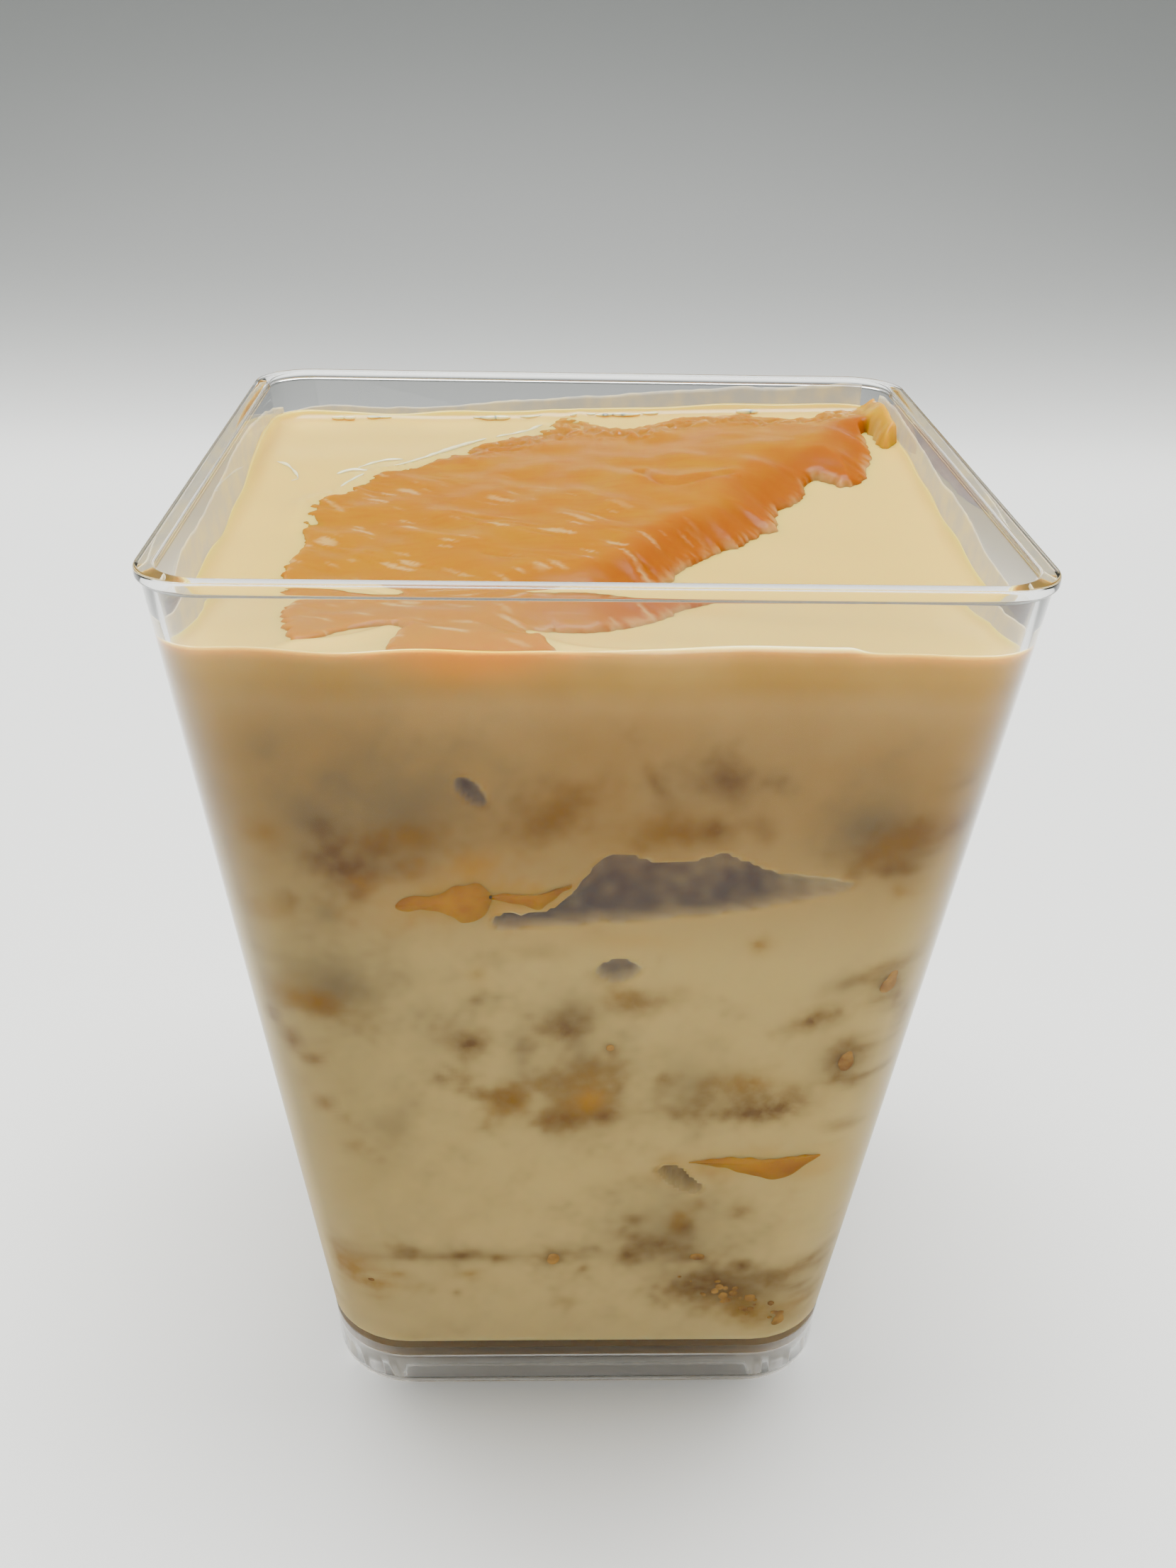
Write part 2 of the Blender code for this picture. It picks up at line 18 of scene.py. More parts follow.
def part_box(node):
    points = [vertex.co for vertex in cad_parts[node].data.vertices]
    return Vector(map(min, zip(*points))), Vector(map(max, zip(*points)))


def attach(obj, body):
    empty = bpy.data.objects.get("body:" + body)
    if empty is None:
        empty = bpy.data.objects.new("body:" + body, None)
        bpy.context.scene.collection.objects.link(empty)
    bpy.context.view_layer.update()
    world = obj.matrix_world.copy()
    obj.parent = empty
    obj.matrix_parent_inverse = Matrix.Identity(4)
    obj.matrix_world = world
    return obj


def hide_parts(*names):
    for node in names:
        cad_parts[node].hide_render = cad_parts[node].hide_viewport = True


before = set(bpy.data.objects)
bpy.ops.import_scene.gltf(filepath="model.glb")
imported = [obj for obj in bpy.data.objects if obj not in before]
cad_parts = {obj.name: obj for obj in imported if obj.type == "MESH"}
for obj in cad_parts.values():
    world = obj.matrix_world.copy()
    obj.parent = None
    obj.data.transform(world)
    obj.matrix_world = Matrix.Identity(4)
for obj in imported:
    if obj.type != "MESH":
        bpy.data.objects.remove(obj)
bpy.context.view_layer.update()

bl_info = {
    "name": "Mango float cup",
    "version": (1, 0, 0),
    "blender": (4, 5, 0),
    "location": "3D View > Sidebar > Mango float",
    "description": "Builds a mango float dessert in a clear square cup",
    "category": "Add Mesh",
}

MM = 0.001

# Cup, as in the frame: widths are those of its outer faces
CUP_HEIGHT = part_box("cup")[1].z
RIM_WIDTH = 66.0 * MM
LIP_HEIGHT = 0.9 * MM
BODY_TOP_WIDTH = 65.2 * MM
BODY_FOOT_WIDTH = 47.7 * MM
FOOT_WIDTH = 47.3 * MM
FOOT_HEIGHT = 5.1 * MM
FLOOR_TOP = 4.8 * MM
FLOOR_THICKNESS = 1.1 * MM
FLOOR_FILLET = 1.0 * MM
EDGE_ROUNDING = 0.25 * MM
FOOT_EDGE = 0.45 * MM
FOOT_RIDGE = 0.1 * MM
FOOT_INSIDE_ROWS = 12
RIM_CORNER_RADIUS = 5.0 * MM
FOOT_CORNER_RADIUS = 7.8 * MM
LEAST_RADIUS = 2.0 * MM
LEAST_RADIUS_SHARE = 0.3

# Cream surface, as in the frame, and how far it climbs the wall all round, at the back and at the left
LEVEL_MM = 79.2
BACK_RISE = 0.9 * MM
CORNER_RISE = 1.3 * MM
CONTACT_RISE = 0.55 * MM
CONTACT_BACK_RISE = 0.25 * MM
CONTACT_LEFT_RISE = 1.2 * MM

# Cream mesh: the widths that its rows of points cross, and the depth of each ring from the wall, in mm
SIDE_SPAN = 58 * MM
FRONT_SPAN = 54 * MM
CREAM_CORNER_STEPS = 6
UNDERSIDE_DEPTHS = (18, 12, 7, 3, 1, 0.4)
SURFACE_DEPTHS = [0.1, 0.16, 0.24, 0.34, 0.46, 0.6, 0.78, 1.0, 1.3, 1.7, 2.2]
SURFACE_DEPTHS += [*np.arange(2.9, 28.6, 0.72), 29.2, 29.8, 30.3]

# The wall lifts what is seen through it, by this much in mm and this share of its depth
WALL_LIFT = 0.25
WALL_LIFT_SHARE = 0.007

# Cracker layers, as in the frame: the core's height and thickness, and the broken pieces at the
# front wall as (across, height, width, thickness, tilt in degrees), in mm from the origin
CRACKER_LAYERS = {
    "graham_layer_lower": {
        "core": (10.8, 6.0),
        "front": [
            (-10.4, 15.6, 19.0, 1.5, 0), (-21.6, 14.3, 3.6, 5.0, 55), (8.4, 18.2, 8.5, 6.4, -12),
            (15.2, 10.0, 9.5, 5.0, -35),
        ],
    },
    "graham_layer_middle": {
        "core": (39.0, 6.6),
        "front": [
            (-22.6, 46.4, 5.0, 3.4, -8), (-9.8, 41.4, 3.6, 3.2, 0), (-8.6, 36.6, 6.6, 3.2, 14),
            (-1.2, 42.1, 4.4, 5.4, 4), (-1.4, 36.2, 6.4, 6.4, 0), (12.8, 36.6, 11.0, 5.0, -6),
            (22.4, 40.8, 3.4, 3.6, 20), (22.8, 48.2, 6.0, 3.8, 25),
        ],
    },
    "graham_layer_upper": {
        "core": (63.8, 4.6),
        "front": [
            (-23.6, 63.7, 4.0, 2.6, 0), (-15.8, 63.0, 8.4, 4.6, 8), (-2.0, 66.3, 6.0, 3.0, 42),
            (8.0, 64.4, 6.4, 3.0, 0), (9.6, 68.0, 3.4, 3.0, 12), (22.4, 63.2, 5.6, 4.4, -18),
        ],
    },
}
PIECE_DEPTH = 12.0 * MM
POKE_THROUGH = 1.0 * MM
CRACKER_INSET = 0.02 * MM
CORE_SPREAD = 0.56
CORE_PLACE = 0.62
CORE_OVERLAP = 1.5
CORE_LEAN = 4
CORE_TURN = 12
UNSEEN_WIDTH = (5.0 * MM, 10.0 * MM)
UNSEEN_THICKNESS = (3.0 * MM, 4.8 * MM)
UNSEEN_TILT = 16
UNSEEN_PER_SIDE = 2
UNSEEN_REACH = 0.62
UNSEEN_SHIFT = 0.2

# Mango layers: the core's height and, for each strip that shows at the front, points of (across,
# top, bottom) along it, in mm
MANGO_LAYERS = {
    "mango_layer_lower": {
        "core": 27.6,
        "front": [
            [
                (9.1, 28.6, 28.5), (10.6, 28.9, 28.1), (12.2, 29.0, 27.7), (13.8, 29.0, 27.3),
                (15.3, 29.0, 26.9), (16.9, 29.0, 26.6), (18.4, 29.1, 27.1), (20.2, 29.1, 28.6),
                (20.6, 29.0, 28.9),
            ]
        ],
    },
    "mango_layer_upper": {
        "core": 56.8,
        "front": [
            [
                (-15.4, 56.9, 56.7), (-14.6, 57.5, 56.3), (-13.4, 57.7, 56.4), (-12.0, 58.0, 56.3),
                (-11.0, 58.5, 55.8), (-10.2, 58.9, 55.1), (-9.2, 59.1, 55.4), (-8.4, 58.7, 56.1),
                (-7.9, 58.0, 57.2),
            ],
            [
                (-8.1, 57.9, 57.5), (-6.7, 58.0, 57.1), (-5.4, 57.9, 56.7), (-4.3, 57.9, 56.4),
                (-3.5, 58.2, 56.9), (-2.7, 58.6, 57.8), (-1.7, 59.1, 58.8),
            ],
        ],
    },
}
STRIP_THICKNESS = 2.4 * MM
STRIP_WIDTH = 11.0 * MM
STRIP_DEPTH = 16.0 * MM
STRIP_LEVEL_STEP = 0.35 * MM
STRIP_TURN = 30
STRIP_TILT = 3
STRIP_SHIFT = 0.3
STRIP_INTO_WALL = 0.16 * MM
MIDDLE_STRIP_PLACE = 0.42
MIDDLE_STRIP_SIZE = (2.3, 1.9)

# Large mango slice: its back left edge from front to back, and its front right edge from back to
# front, in mm
SLICE_BACK_EDGE = [
    (-22.6, -26.4), (-23.8, -21.1), (-25.0, -13.5), (-24.2, -9.7), (-24.1, -6.6), (-24.7, -2.6),
    (-24.8, 1.4), (-23.8, 4.0), (-21.8, 5.7), (-20.7, 8.7), (-19.0, 12.0), (-16.8, 13.1),
    (-14.1, 16.0), (-11.4, 20.1), (-8.5, 22.3), (-4.2, 25.4), (-3.0, 29.5), (-1.1, 30.4),
    (2.0, 27.6), (4.4, 25.9), (7.6, 27.5), (10.9, 29.3), (15.3, 29.3), (20.2, 28.2),
    (24.0, 28.5), (25.4, 30.6), (27.8, 31.2), (31.0, 30.2),
]
SLICE_FRONT_EDGE = [
    (31.3, 24.0), (31.0, 19.8), (30.0, 17.9), (29.1, 18.6), (28.8, 23.2), (28.3, 23.2),
    (28.2, 20.0), (27.8, 15.4), (27.0, 12.1), (25.9, 9.0), (24.6, 7.8), (23.2, 8.1),
    (22.5, 9.2), (21.6, 9.9), (20.6, 8.6), (19.8, 5.0), (18.6, 3.3), (17.1, 1.6),
    (16.6, -1.3), (16.2, -3.2), (15.0, -4.0), (13.7, -6.1), (11.4, -8.5), (9.1, -10.9),
    (7.5, -13.2), (6.3, -16.2), (4.7, -18.3), (2.2, -20.8), (0.7, -22.0), (-2.0, -22.9),
    (-3.9, -22.9), (-4.7, -24.0), (-4.3, -26.0), (-3.3, -28.7), (-2.7, -31.3),
    (-9.0, -31.5), (-15.3, -31.3), (-15.6, -28.4), (-15.0, -24.6), (-14.8, -21.9),
    (-15.9, -20.9), (-17.6, -21.4), (-19.3, -23.1), (-20.4, -25.2), (-21.8, -26.4),
]
SLICE_SPACING = 0.34 * MM
SLICE_EDGE_STEP = 0.3 * MM
SLICE_CREST = [(3.0, -15.0), (8.6, -4.6), (13.7, 6.0), (18.7, 9.7), (21.3, 11.0)]
SLICE_CREASE = [(5.0, 8.2), (6.0, 5.0), (7.8, 3.4), (10.6, 4.4), (12.6, 6.0)]
SLICE_THICKNESS = 3.6 * MM
SLICE_RIM_THICKNESS = 1.5 * MM
LOBE_MIDDLE = -9.0 * MM
LOBE_HALF_WIDTH = 6.4 * MM
SLICE_INTO_WALL = 0.05 * MM
WET_LEAST = 0.55

# Fibres of the flesh: their direction in radians, and the scale of their pattern along it
FIBRE_TURN = -0.9
FIBRE_STRETCH = 0.16

# Thin curls on the open cream, as (radius, line of points), and broad folds in it, in mm
CREAM_CURLS = [
    (0.16, [(-30.3, 13.5), (-29.7, 15.0), (-28.1, 13.9), (-26.8, 10.8), (-27.3, 9.9)]),
    (0.2, [(-23.3, 11.9), (-22.0, 13.0), (-20.5, 12.7)]),
    (0.18, [(-21.5, 13.8), (-19.4, 15.8), (-17.4, 16.3)]),
    (0.14, [(-22.6, 8.0), (-21.4, 10.1), (-20.7, 11.1)]),
    (0.24, [(-18.0, 13.6), (-14.9, 16.6), (-12.2, 20.4), (-9.6, 22.6)]),
    (0.2, [(-8.6, 23.2), (-5.6, 25.4), (-3.9, 27.8)]),
]
CREAM_FOLDS = [
    [(-21.8, -27.6), (-19.3, -26.7), (-17.3, -24.8), (-15.7, -22.2)],
    [(-5.1, -23.9), (-3.9, -26.9), (-1.3, -29.2), (2.6, -30.3), (9.0, -30.8), (17.6, -31.1)],
]

# Small wet beads of cream along the back wall
BEAD_COUNT = 18
BEAD_LIFT = 0.35 * MM

# Cream that clings to the inside of the wall above the surface: for the right, back and left side,
# points of (across, height of its top) in mm
WALL_FILMS = {
    1: [(-29.6, 81.0), (-20.0, 81.6), (-5.0, 82.4), (5.0, 83.1), (18.0, 83.7), (29.6, 84.1)],
    2: [(-29.6, 84.1), (-17.0, 84.0), (-10.0, 83.6), (3.5, 82.3), (20.0, 81.4), (29.6, 81.2)],
    3: [(-29.6, 81.6), (-22.0, 83.0), (-10.0, 83.7), (5.0, 83.2), (20.0, 82.6), (29.6, 81.2)],
}
FILM_THICKNESS = 0.05 * MM
FILM_INTO_WALL = 0.03 * MM
FILM_FOOT = 0.2 * MM
FILM_BELOW_RIM = 0.3 * MM

# Stains that soaked crackers and mango leave in the cream at the front wall, and painted shade, by tint:
# (across, height, half width, half height, tilt in degrees, strength), in mm as seen through the wall
FRONT_STAINS = {
    "mango": [
        (-9.4, 60.4, 2.2, 1.3, 20, 0.4), (-11.8, 57.3, 4.4, 1.8, 8, 0.5), (-4.9, 57.6, 3.6, 1.1, 4, 0.5),
        (15.2, 28.1, 6.0, 1.3, 0, 0.4), (3.4, 53.4, 3.4, 0.8, 0, 0.16), (0.2, 36.2, 1.1, 1.0, 0, 0.5),
    ],
    "grey": [
        # The first grey entry is no stain but painted shade: it darkens the front's left third
        (-27.0, 40.0, 11.0, 60.0, 0, 0.36), (-21.3, 64.9, 2.2, 1.9, -25, 0.5),
        (-14.6, 65.6, 4.4, 3.6, 0, 0.62), (-20.7, 56.1, 0.8, 0.9, 0, 0.5), (9.0, 68.6, 2.4, 2.0, 0, 0.3),
        (21.0, 64.3, 2.8, 2.6, 0, 0.85), (24.7, 61.8, 0.8, 0.8, 0, 0.55),
        (-20.6, 48.6, 3.4, 2.6, -15, 0.72), (-16.2, 32.5, 1.6, 2.4, -20, 0.35),
        (-10.6, 42.8, 2.4, 1.6, 0, 0.3), (-5.6, 41.0, 0.8, 2.8, 0, 0.4), (-1.5, 45.7, 2.0, 1.9, 0, 0.45),
        (-0.6, 41.2, 1.2, 2.6, 0, 0.4), (-0.4, 36.0, 3.6, 3.8, 0, 0.36), (8.6, 37.6, 2.7, 3.6, 0, 0.42),
        (20.9, 48.9, 1.1, 0.9, 20, 0.5), (20.8, 40.0, 1.8, 2.0, 0, 0.35), (-10.6, 16.5, 9.4, 0.8, 0, 0.36),
        (8.2, 19.8, 4.8, 4.4, 0, 0.5), (14.8, 11.8, 5.0, 2.6, -15, 0.5),
    ],
    "gold": [
        (-24.9, 63.7, 1.3, 1.1, 0, 0.5), (-14.3, 63.3, 3.2, 1.3, 6, 0.75), (-25.2, 56.4, 1.6, 1.0, 0, 0.3),
        (-2.7, 65.9, 3.1, 1.5, 38, 0.85), (6.0, 63.9, 3.2, 1.3, 5, 0.8), (22.6, 62.5, 2.6, 1.3, 38, 0.8),
        (23.9, 58.3, 0.9, 0.6, -30, 0.4), (13.3, 53.0, 0.7, 0.7, 0, 0.6), (2.6, 47.6, 1.4, 0.9, 0, 0.4),
        (-9.2, 49.9, 0.7, 0.7, 0, 0.35), (-22.2, 47.0, 2.4, 1.3, -22, 0.9), (-6.3, 35.9, 1.6, 1.5, 35, 0.9),
        (-0.1, 36.6, 2.5, 2.6, 0, 0.8), (13.8, 38.0, 2.3, 1.0, 0, 0.6), (-16.9, 14.0, 0.9, 0.6, 0, 0.5),
        (-10.4, 14.0, 0.8, 0.5, 20, 0.5), (-21.4, 14.2, 1.8, 1.9, -30, 0.9),
        (-19.4, 12.5, 2.2, 0.8, -5, 0.7), (8.6, 21.2, 0.9, 1.2, -10, 0.7), (16.0, 8.2, 3.2, 1.8, -28, 0.8),
        (20.4, 8.8, 1.3, 0.8, 30, 0.5),
    ],
    "brown": [
        (-20.8, 64.1, 0.9, 0.8, 0, 0.5), (-16.3, 62.6, 1.2, 1.0, 30, 0.7), (-13.6, 63.5, 1.3, 0.9, 0, 0.6),
        (-19.8, 61.8, 1.0, 1.4, -25, 0.75), (-18.8, 60.6, 1.9, 1.1, 10, 0.75),
        (-14.6, 60.2, 2.4, 0.9, 0, 0.4), (-18.3, 57.9, 0.7, 0.8, 0, 0.6), (-23.5, 57.3, 0.5, 0.9, 20, 0.4),
        (-2.9, 65.7, 2.6, 1.1, 38, 0.8), (-6.8, 64.1, 0.7, 0.7, 0, 0.3), (4.3, 68.4, 1.7, 0.5, -62, 0.5),
        (9.6, 68.8, 1.5, 1.3, 0, 0.65), (9.0, 64.2, 1.4, 1.1, 0, 1.0), (6.6, 63.9, 1.3, 0.8, 0, 0.5),
        (12.9, 63.9, 0.8, 1.2, 10, 0.35), (23.6, 63.3, 1.8, 1.0, 25, 0.7), (21.2, 61.8, 1.3, 0.9, 0, 0.5),
        (22.6, 60.4, 0.7, 0.7, 0, 0.7), (27.4, 64.3, 2.8, 1.2, 8, 0.35), (4.0, 46.9, 2.8, 1.1, 10, 0.5),
        (-4.3, 52.2, 2.0, 0.7, 0, 0.22), (-21.4, 46.7, 1.6, 1.0, -20, 0.6),
        (-24.9, 43.4, 3.0, 0.45, -62, 0.7), (-23.2, 40.8, 1.1, 0.7, -45, 0.8),
        (-22.3, 35.8, 1.8, 0.5, -52, 0.5), (-20.1, 30.6, 1.0, 0.9, -40, 0.3),
        (-9.8, 42.4, 1.6, 1.2, 0, 0.75), (-10.2, 38.6, 0.8, 0.8, 0, 0.5), (-9.0, 36.8, 2.3, 0.6, -12, 0.5),
        (-6.2, 36.1, 1.2, 1.2, 35, 0.5), (-2.0, 43.9, 1.6, 1.2, 10, 0.7), (-2.6, 38.3, 1.4, 1.8, 20, 0.5),
        (-1.9, 33.8, 1.8, 1.0, 0, 0.85), (1.5, 34.1, 1.3, 1.1, 0, 0.8), (2.6, 37.4, 0.9, 1.8, 0, 0.45),
        (6.4, 38.6, 0.8, 0.7, 0, 0.55), (10.3, 37.2, 0.6, 2.2, -10, 0.3), (8.0, 34.4, 1.8, 0.7, -20, 0.4),
        (14.4, 36.2, 3.8, 1.7, -4, 0.5), (13.6, 34.3, 2.4, 0.7, 0, 0.6), (16.3, 34.9, 1.5, 0.9, 20, 0.55),
        (18.5, 45.1, 1.7, 0.9, 32, 0.9), (23.0, 50.2, 3.2, 0.6, 28, 0.5), (24.1, 49.3, 1.1, 1.7, -18, 0.65),
        (25.6, 46.0, 0.6, 2.0, 8, 0.5), (21.7, 40.8, 1.2, 2.0, -12, 0.75), (23.6, 38.6, 2.0, 0.4, 12, 0.5),
        (21.6, 32.9, 1.4, 0.6, 0, 0.45), (1.8, 41.9, 0.5, 0.5, 0, 0.6), (-12.5, 16.3, 8.0, 0.35, 0, 0.24),
        (-16.0, 16.9, 1.3, 0.8, -8, 0.6), (-10.8, 16.5, 1.3, 0.5, 8, 0.65), (-7.8, 16.0, 0.8, 0.5, 0, 0.6),
        (-2.7, 16.0, 1.5, 1.2, 0, 0.6), (-11.6, 11.4, 0.4, 0.4, 0, 0.4), (0.2, 14.6, 0.5, 0.5, 0, 0.5),
        (-1.4, 10.1, 0.8, 0.5, 0, 0.3), (4.6, 21.2, 0.9, 0.6, 0, 0.5), (9.3, 20.1, 0.8, 0.8, 0, 0.75),
        (14.1, 22.2, 0.8, 0.9, -20, 0.6), (4.1, 16.5, 1.0, 0.9, 25, 0.7), (7.4, 17.8, 2.8, 1.0, -22, 0.65),
        (10.5, 16.0, 1.4, 0.7, 0, 0.8), (14.9, 15.0, 0.9, 0.8, -25, 0.75), (18.6, 13.6, 2.8, 1.2, 8, 0.6),
        (21.0, 15.0, 1.4, 0.5, 40, 0.5), (12.6, 11.7, 3.8, 1.7, -12, 0.85), (9.8, 10.8, 1.6, 1.0, 0, 0.4),
    ],
}

# Air pockets in the cream's front face: the depth of each and its outline as (across, height), in mm
AIR_POCKETS = [
    (3.0, [
        (-7.8, 55.4), (-7.0, 55.8), (-5.3, 55.9), (-3.7, 56.2), (-2.0, 57.6), (-0.7, 59.5),
        (0.3, 60.9), (1.6, 61.7), (3.1, 61.6), (4.6, 61.0), (6.3, 60.9), (7.7, 61.2),
        (9.5, 61.7), (11.2, 61.3), (13.0, 60.5), (15.0, 59.9), (17.4, 59.7), (19.8, 59.2),
        (20.4, 58.8), (18.9, 58.2), (16.9, 57.7), (14.9, 57.2), (12.3, 56.7), (8.9, 56.1),
        (5.5, 55.7), (2.1, 55.4), (-1.3, 55.1), (-3.3, 55.0), (-4.7, 55.0), (-6.0, 54.7),
        (-7.4, 54.7),
    ]),
    (1.2, [
        (-10.6, 68.6), (-10.1, 68.8), (-9.4, 68.4), (-8.8, 67.8), (-8.2, 66.9), (-8.2, 66.3),
        (-8.8, 66.2), (-9.5, 66.6), (-10.2, 67.4), (-10.6, 68.1),
    ]),
    (1.2, [
        (0.4, 50.3), (1.0, 51.0), (2.1, 51.4), (3.3, 51.1), (4.0, 50.4), (3.3, 49.6),
        (2.2, 49.2), (1.1, 49.5),
    ]),
    (1.2, [
        (6.1, 27.6), (7.2, 28.1), (8.3, 27.7), (9.4, 26.6), (10.4, 25.3), (10.2, 24.7),
        (9.2, 24.7), (8.2, 25.2), (7.1, 26.3),
    ]),
]
POCKET_FADE = (12.0 * MM, 20.5 * MM)

# Crumbs that press on the front wall: across, height, half width and half height in mm, and tilt
FRONT_CRUMBS = [
    (-2.7, 16.0, 0.75, 0.85, 0), (-15.9, 9.8, 1.0, 0.4, -4), (-19.4, 13.0, 0.4, 0.3, 10),
    (21.7, 40.9, 0.7, 1.4, -12), (24.3, 49.3, 0.6, 1.2, -18), (10.6, 16.1, 0.5, 0.3, 0),
    (9.1, 13.4, 0.25, 0.25, 0), (12.1, 16.8, 0.25, 0.25, 0), (1.8, 42.0, 0.3, 0.3, 0),
]

# The heap of small crumbs low at the front right: its ends as (across, height), and how far it goes
CRUMB_HEAP = ((11.2, 12.4), (19.2, 6.6))
CRUMB_HEAP_COUNT = 46
CRUMB_HEAP_END = 18.8
CRUMB_DEPTH = 0.9 * MM
CRUMB_INSET = 0.25 * MM
CRUMB_INTO_WALL = 0.15 * MM

# Smears by each cracker layer on the sides that the photo doesn't show: tint and half width in mm
SMEARS = [
    ("grey", 3.4), ("grey", 2.2), ("gold", 1.9), ("gold", 1.2), ("brown", 1.5), ("brown", 1.2),
    ("brown", 1.0), ("brown", 0.9), ("mango", 1.3),
]
SMEAR_REACH = 0.8

# Floor, the backdrop that it curves up to, and where along the floor its colour turns to the backdrop's
STAGE_DEPTH = 0.34
STAGE_BEND = 0.16
BACKDROP_HEIGHT = 1.2
FLOOR_TO_BACKDROP = (0.27, 0.47)

# Camera, as fitted to the photo: angles in radians, lens and sensor in mm
CAMERA_PLACE = (-4.84 * MM, -137.28 * MM, 122.57 * MM)
CAMERA_YAW = 0.0389
CAMERA_PITCH = 0.4678
CAMERA_ROLL = 0.0230
CAMERA_LENS = 37.07
SENSOR_HEIGHT = 36.0


def colour(code):
    """The linear colour of an sRGB hex code."""
    channels = [int(code[i : i + 2], 16) / 255 for i in (0, 2, 4)]
    return [c / 12.92 if c <= 0.04045 else ((c + 0.055) / 1.055) ** 2.4 for c in channels]


def length(name, description, default_mm):
    """A length setting, given in mm."""
    return FloatProperty(
        name=name, description=description, default=default_mm * MM, unit="LENGTH", precision=5
    )


def tint(name, description, code):
    """A colour setting, given as an sRGB hex code."""
    return FloatVectorProperty(
        name=name, description=description, default=colour(code), subtype="COLOR", min=0, max=1
    )


def power(name, watts):
    """A light's power setting."""
    return FloatProperty(name=name, description="Power in watts", default=watts, unit="POWER")


class CupSettings(PropertyGroup):
    """The cup"""

    wall: length("Wall", "Thickness of the cup's wall", 1.1)
    corner_steps: IntProperty(name="Corner steps", description="Faces round a corner", default=14)


class CreamSettings(PropertyGroup):
    """The cream"""

    level: length("Level", "Height of the cream's surface at the front", LEVEL_MM)
    into_wall: length("Into the wall", "How far the cream reaches into the wall", 0.10)
    grid: length("Grid", "Spacing of the points round the cream's other sides", 0.85)
    front_grid: length("Front grid", "Spacing of the points on the cream's front", 0.38)
    top: tint("Top", "The open surface", "E2C058")
    # under_top, contact, upper, middle and lower are painted light and shade by height up the side: lighter
    # low down, where bounce light from the floor falls, and darker and browner towards the surface, in shade
    under_top: tint("Under the top", "The side just under the surface", "98721A")
    contact: tint("Contact", "The line where the surface meets the wall", "A8822E")
    upper: tint("Upper side", "The side by the upper layers", "AE8A46")
    middle: tint("Middle side", "The side by the middle layers", "D6BE78")
    bottom: tint("Bottom", "The underside on the cup's floor", "B4925A")
    lower: tint("Lower side", "The side near the floor", "DDC484")
    # The grey tint also paints shade over the left third of the front
    grey: tint("Grey stain", "Cream in front of a cracker", "806E4A")
    brown: tint("Brown stain", "Cream thin over a cracker", "6C460E")
    gold: tint("Gold stain", "Syrup and soaked cracker at the wall", "946A00")
    glow: tint("Mango glow", "The slice's lobe, seen through a thin skin", "C07A06")
    film: tint("Film", "Thin cream on the wall above the surface", "DCD6C4")
    # The near-white splash tint is partly painted highlight: it makes the thin curls and beads read as white
    # glints; the film takes it as a second tone
    splash: tint("Splash", "Thin curls of cream on the surface", "F6E8B8")
    mango: tint("Mango stain", "Juice and thin flesh beside the strips", "CC9200")
    # The air pocket tint is painted shade: the pockets' insides are coloured dark for the shade in these
    # hollows
    air: tint("Air pocket", "Inside of an air pocket", "4C2A00")


class MangoSettings(PropertyGroup):
    """The mango slice and strips"""

    ridge: length("Ridge", "Height of the slice's ridge above its low edge", 2.0)
    flesh: tint("Flesh", "The open face of the slice", "9E6200")
    # The deep tint is painted shade on the slope, which faces away from the overhead light, and in the
    # crease; the fibres also take it as their darker tone
    deep: tint("Deep flesh", "The slope and the folds", "924A00")
    pale: tint("Pale flesh", "The thin ends", "A06A00")
    flap: tint("Flap", "The thin flap at the back right", "BA8A00")
    # The veil tint also paints glints: pale streaks on the left part of the slice stand in for small
    # highlights
    veil: tint("Veil", "Cream smeared thin on the slice, and its pale fibres", "DDC480")
    strip: tint("Strips", "Mango strips at the wall", "C88E00")
    strip_patch: tint("Strip patches", "The riper patches of the strips", "B67600")


class CrackerSettings(PropertyGroup):
    """The soaked crackers"""

    crumb: length("Crumb", "Size of the grain in a soaked cracker", 0.9)
    light: tint("Light crumb", "Soaked cracker", "BE8E3C")
    dark: tint("Dark crumb", "Baked skin of the cracker", "80561A")


class StageSettings(PropertyGroup):
    """The floor and the lights"""

    floor: tint("Floor", "The pale floor", "F4F6F5")
    backdrop: tint("Backdrop", "The backdrop behind it", "646766")
    overhead: power("Overhead light", 55.0)
    front: power("Front light", 2.6)


def lerp(start, end, share):
    """The value that lies the given share of the way from start to end."""
    return start + (end - start) * share


def smooth(value, low, high):
    """Rises smoothly from 0 at low to 1 at high."""
    share = np.clip((value - low) / (high - low), 0.0, 1.0)
    return share * share * (3 - 2 * share)


def near(gap, width):
    """1 where the gap is nothing, falling off smoothly over about the width."""
    return np.exp(-((gap / width) ** 2))


def laid_flat(x, y):
    """Points at these places, all at height 0."""
    return np.column_stack((x, y, np.zeros(len(x))))


def ripple(points, size, seed, waves=28):
    """A smooth random field, mostly from -1 to 1, with lumps of about the given size."""
    draw = np.random.default_rng(seed)
    total = np.zeros(len(points))
    for _ in range(waves):
        direction = draw.normal(size=3)
        direction *= draw.uniform(0.6, 1.6) / np.linalg.norm(direction)
        total += np.sin(points @ direction * math.pi / size + draw.uniform(0, 2 * math.pi))
    return total / math.sqrt(waves / 1.4)


def outer_half(z):
    """Half the cup's outer width at height z."""
    foot = lerp(FOOT_WIDTH, BODY_FOOT_WIDTH, z / FOOT_HEIGHT)
    share = np.clip((z - FOOT_HEIGHT) / (CUP_HEIGHT - LIP_HEIGHT - FOOT_HEIGHT), 0, 1)
    return np.where(z < FOOT_HEIGHT, foot, lerp(BODY_FOOT_WIDTH, BODY_TOP_WIDTH, share)) / 2


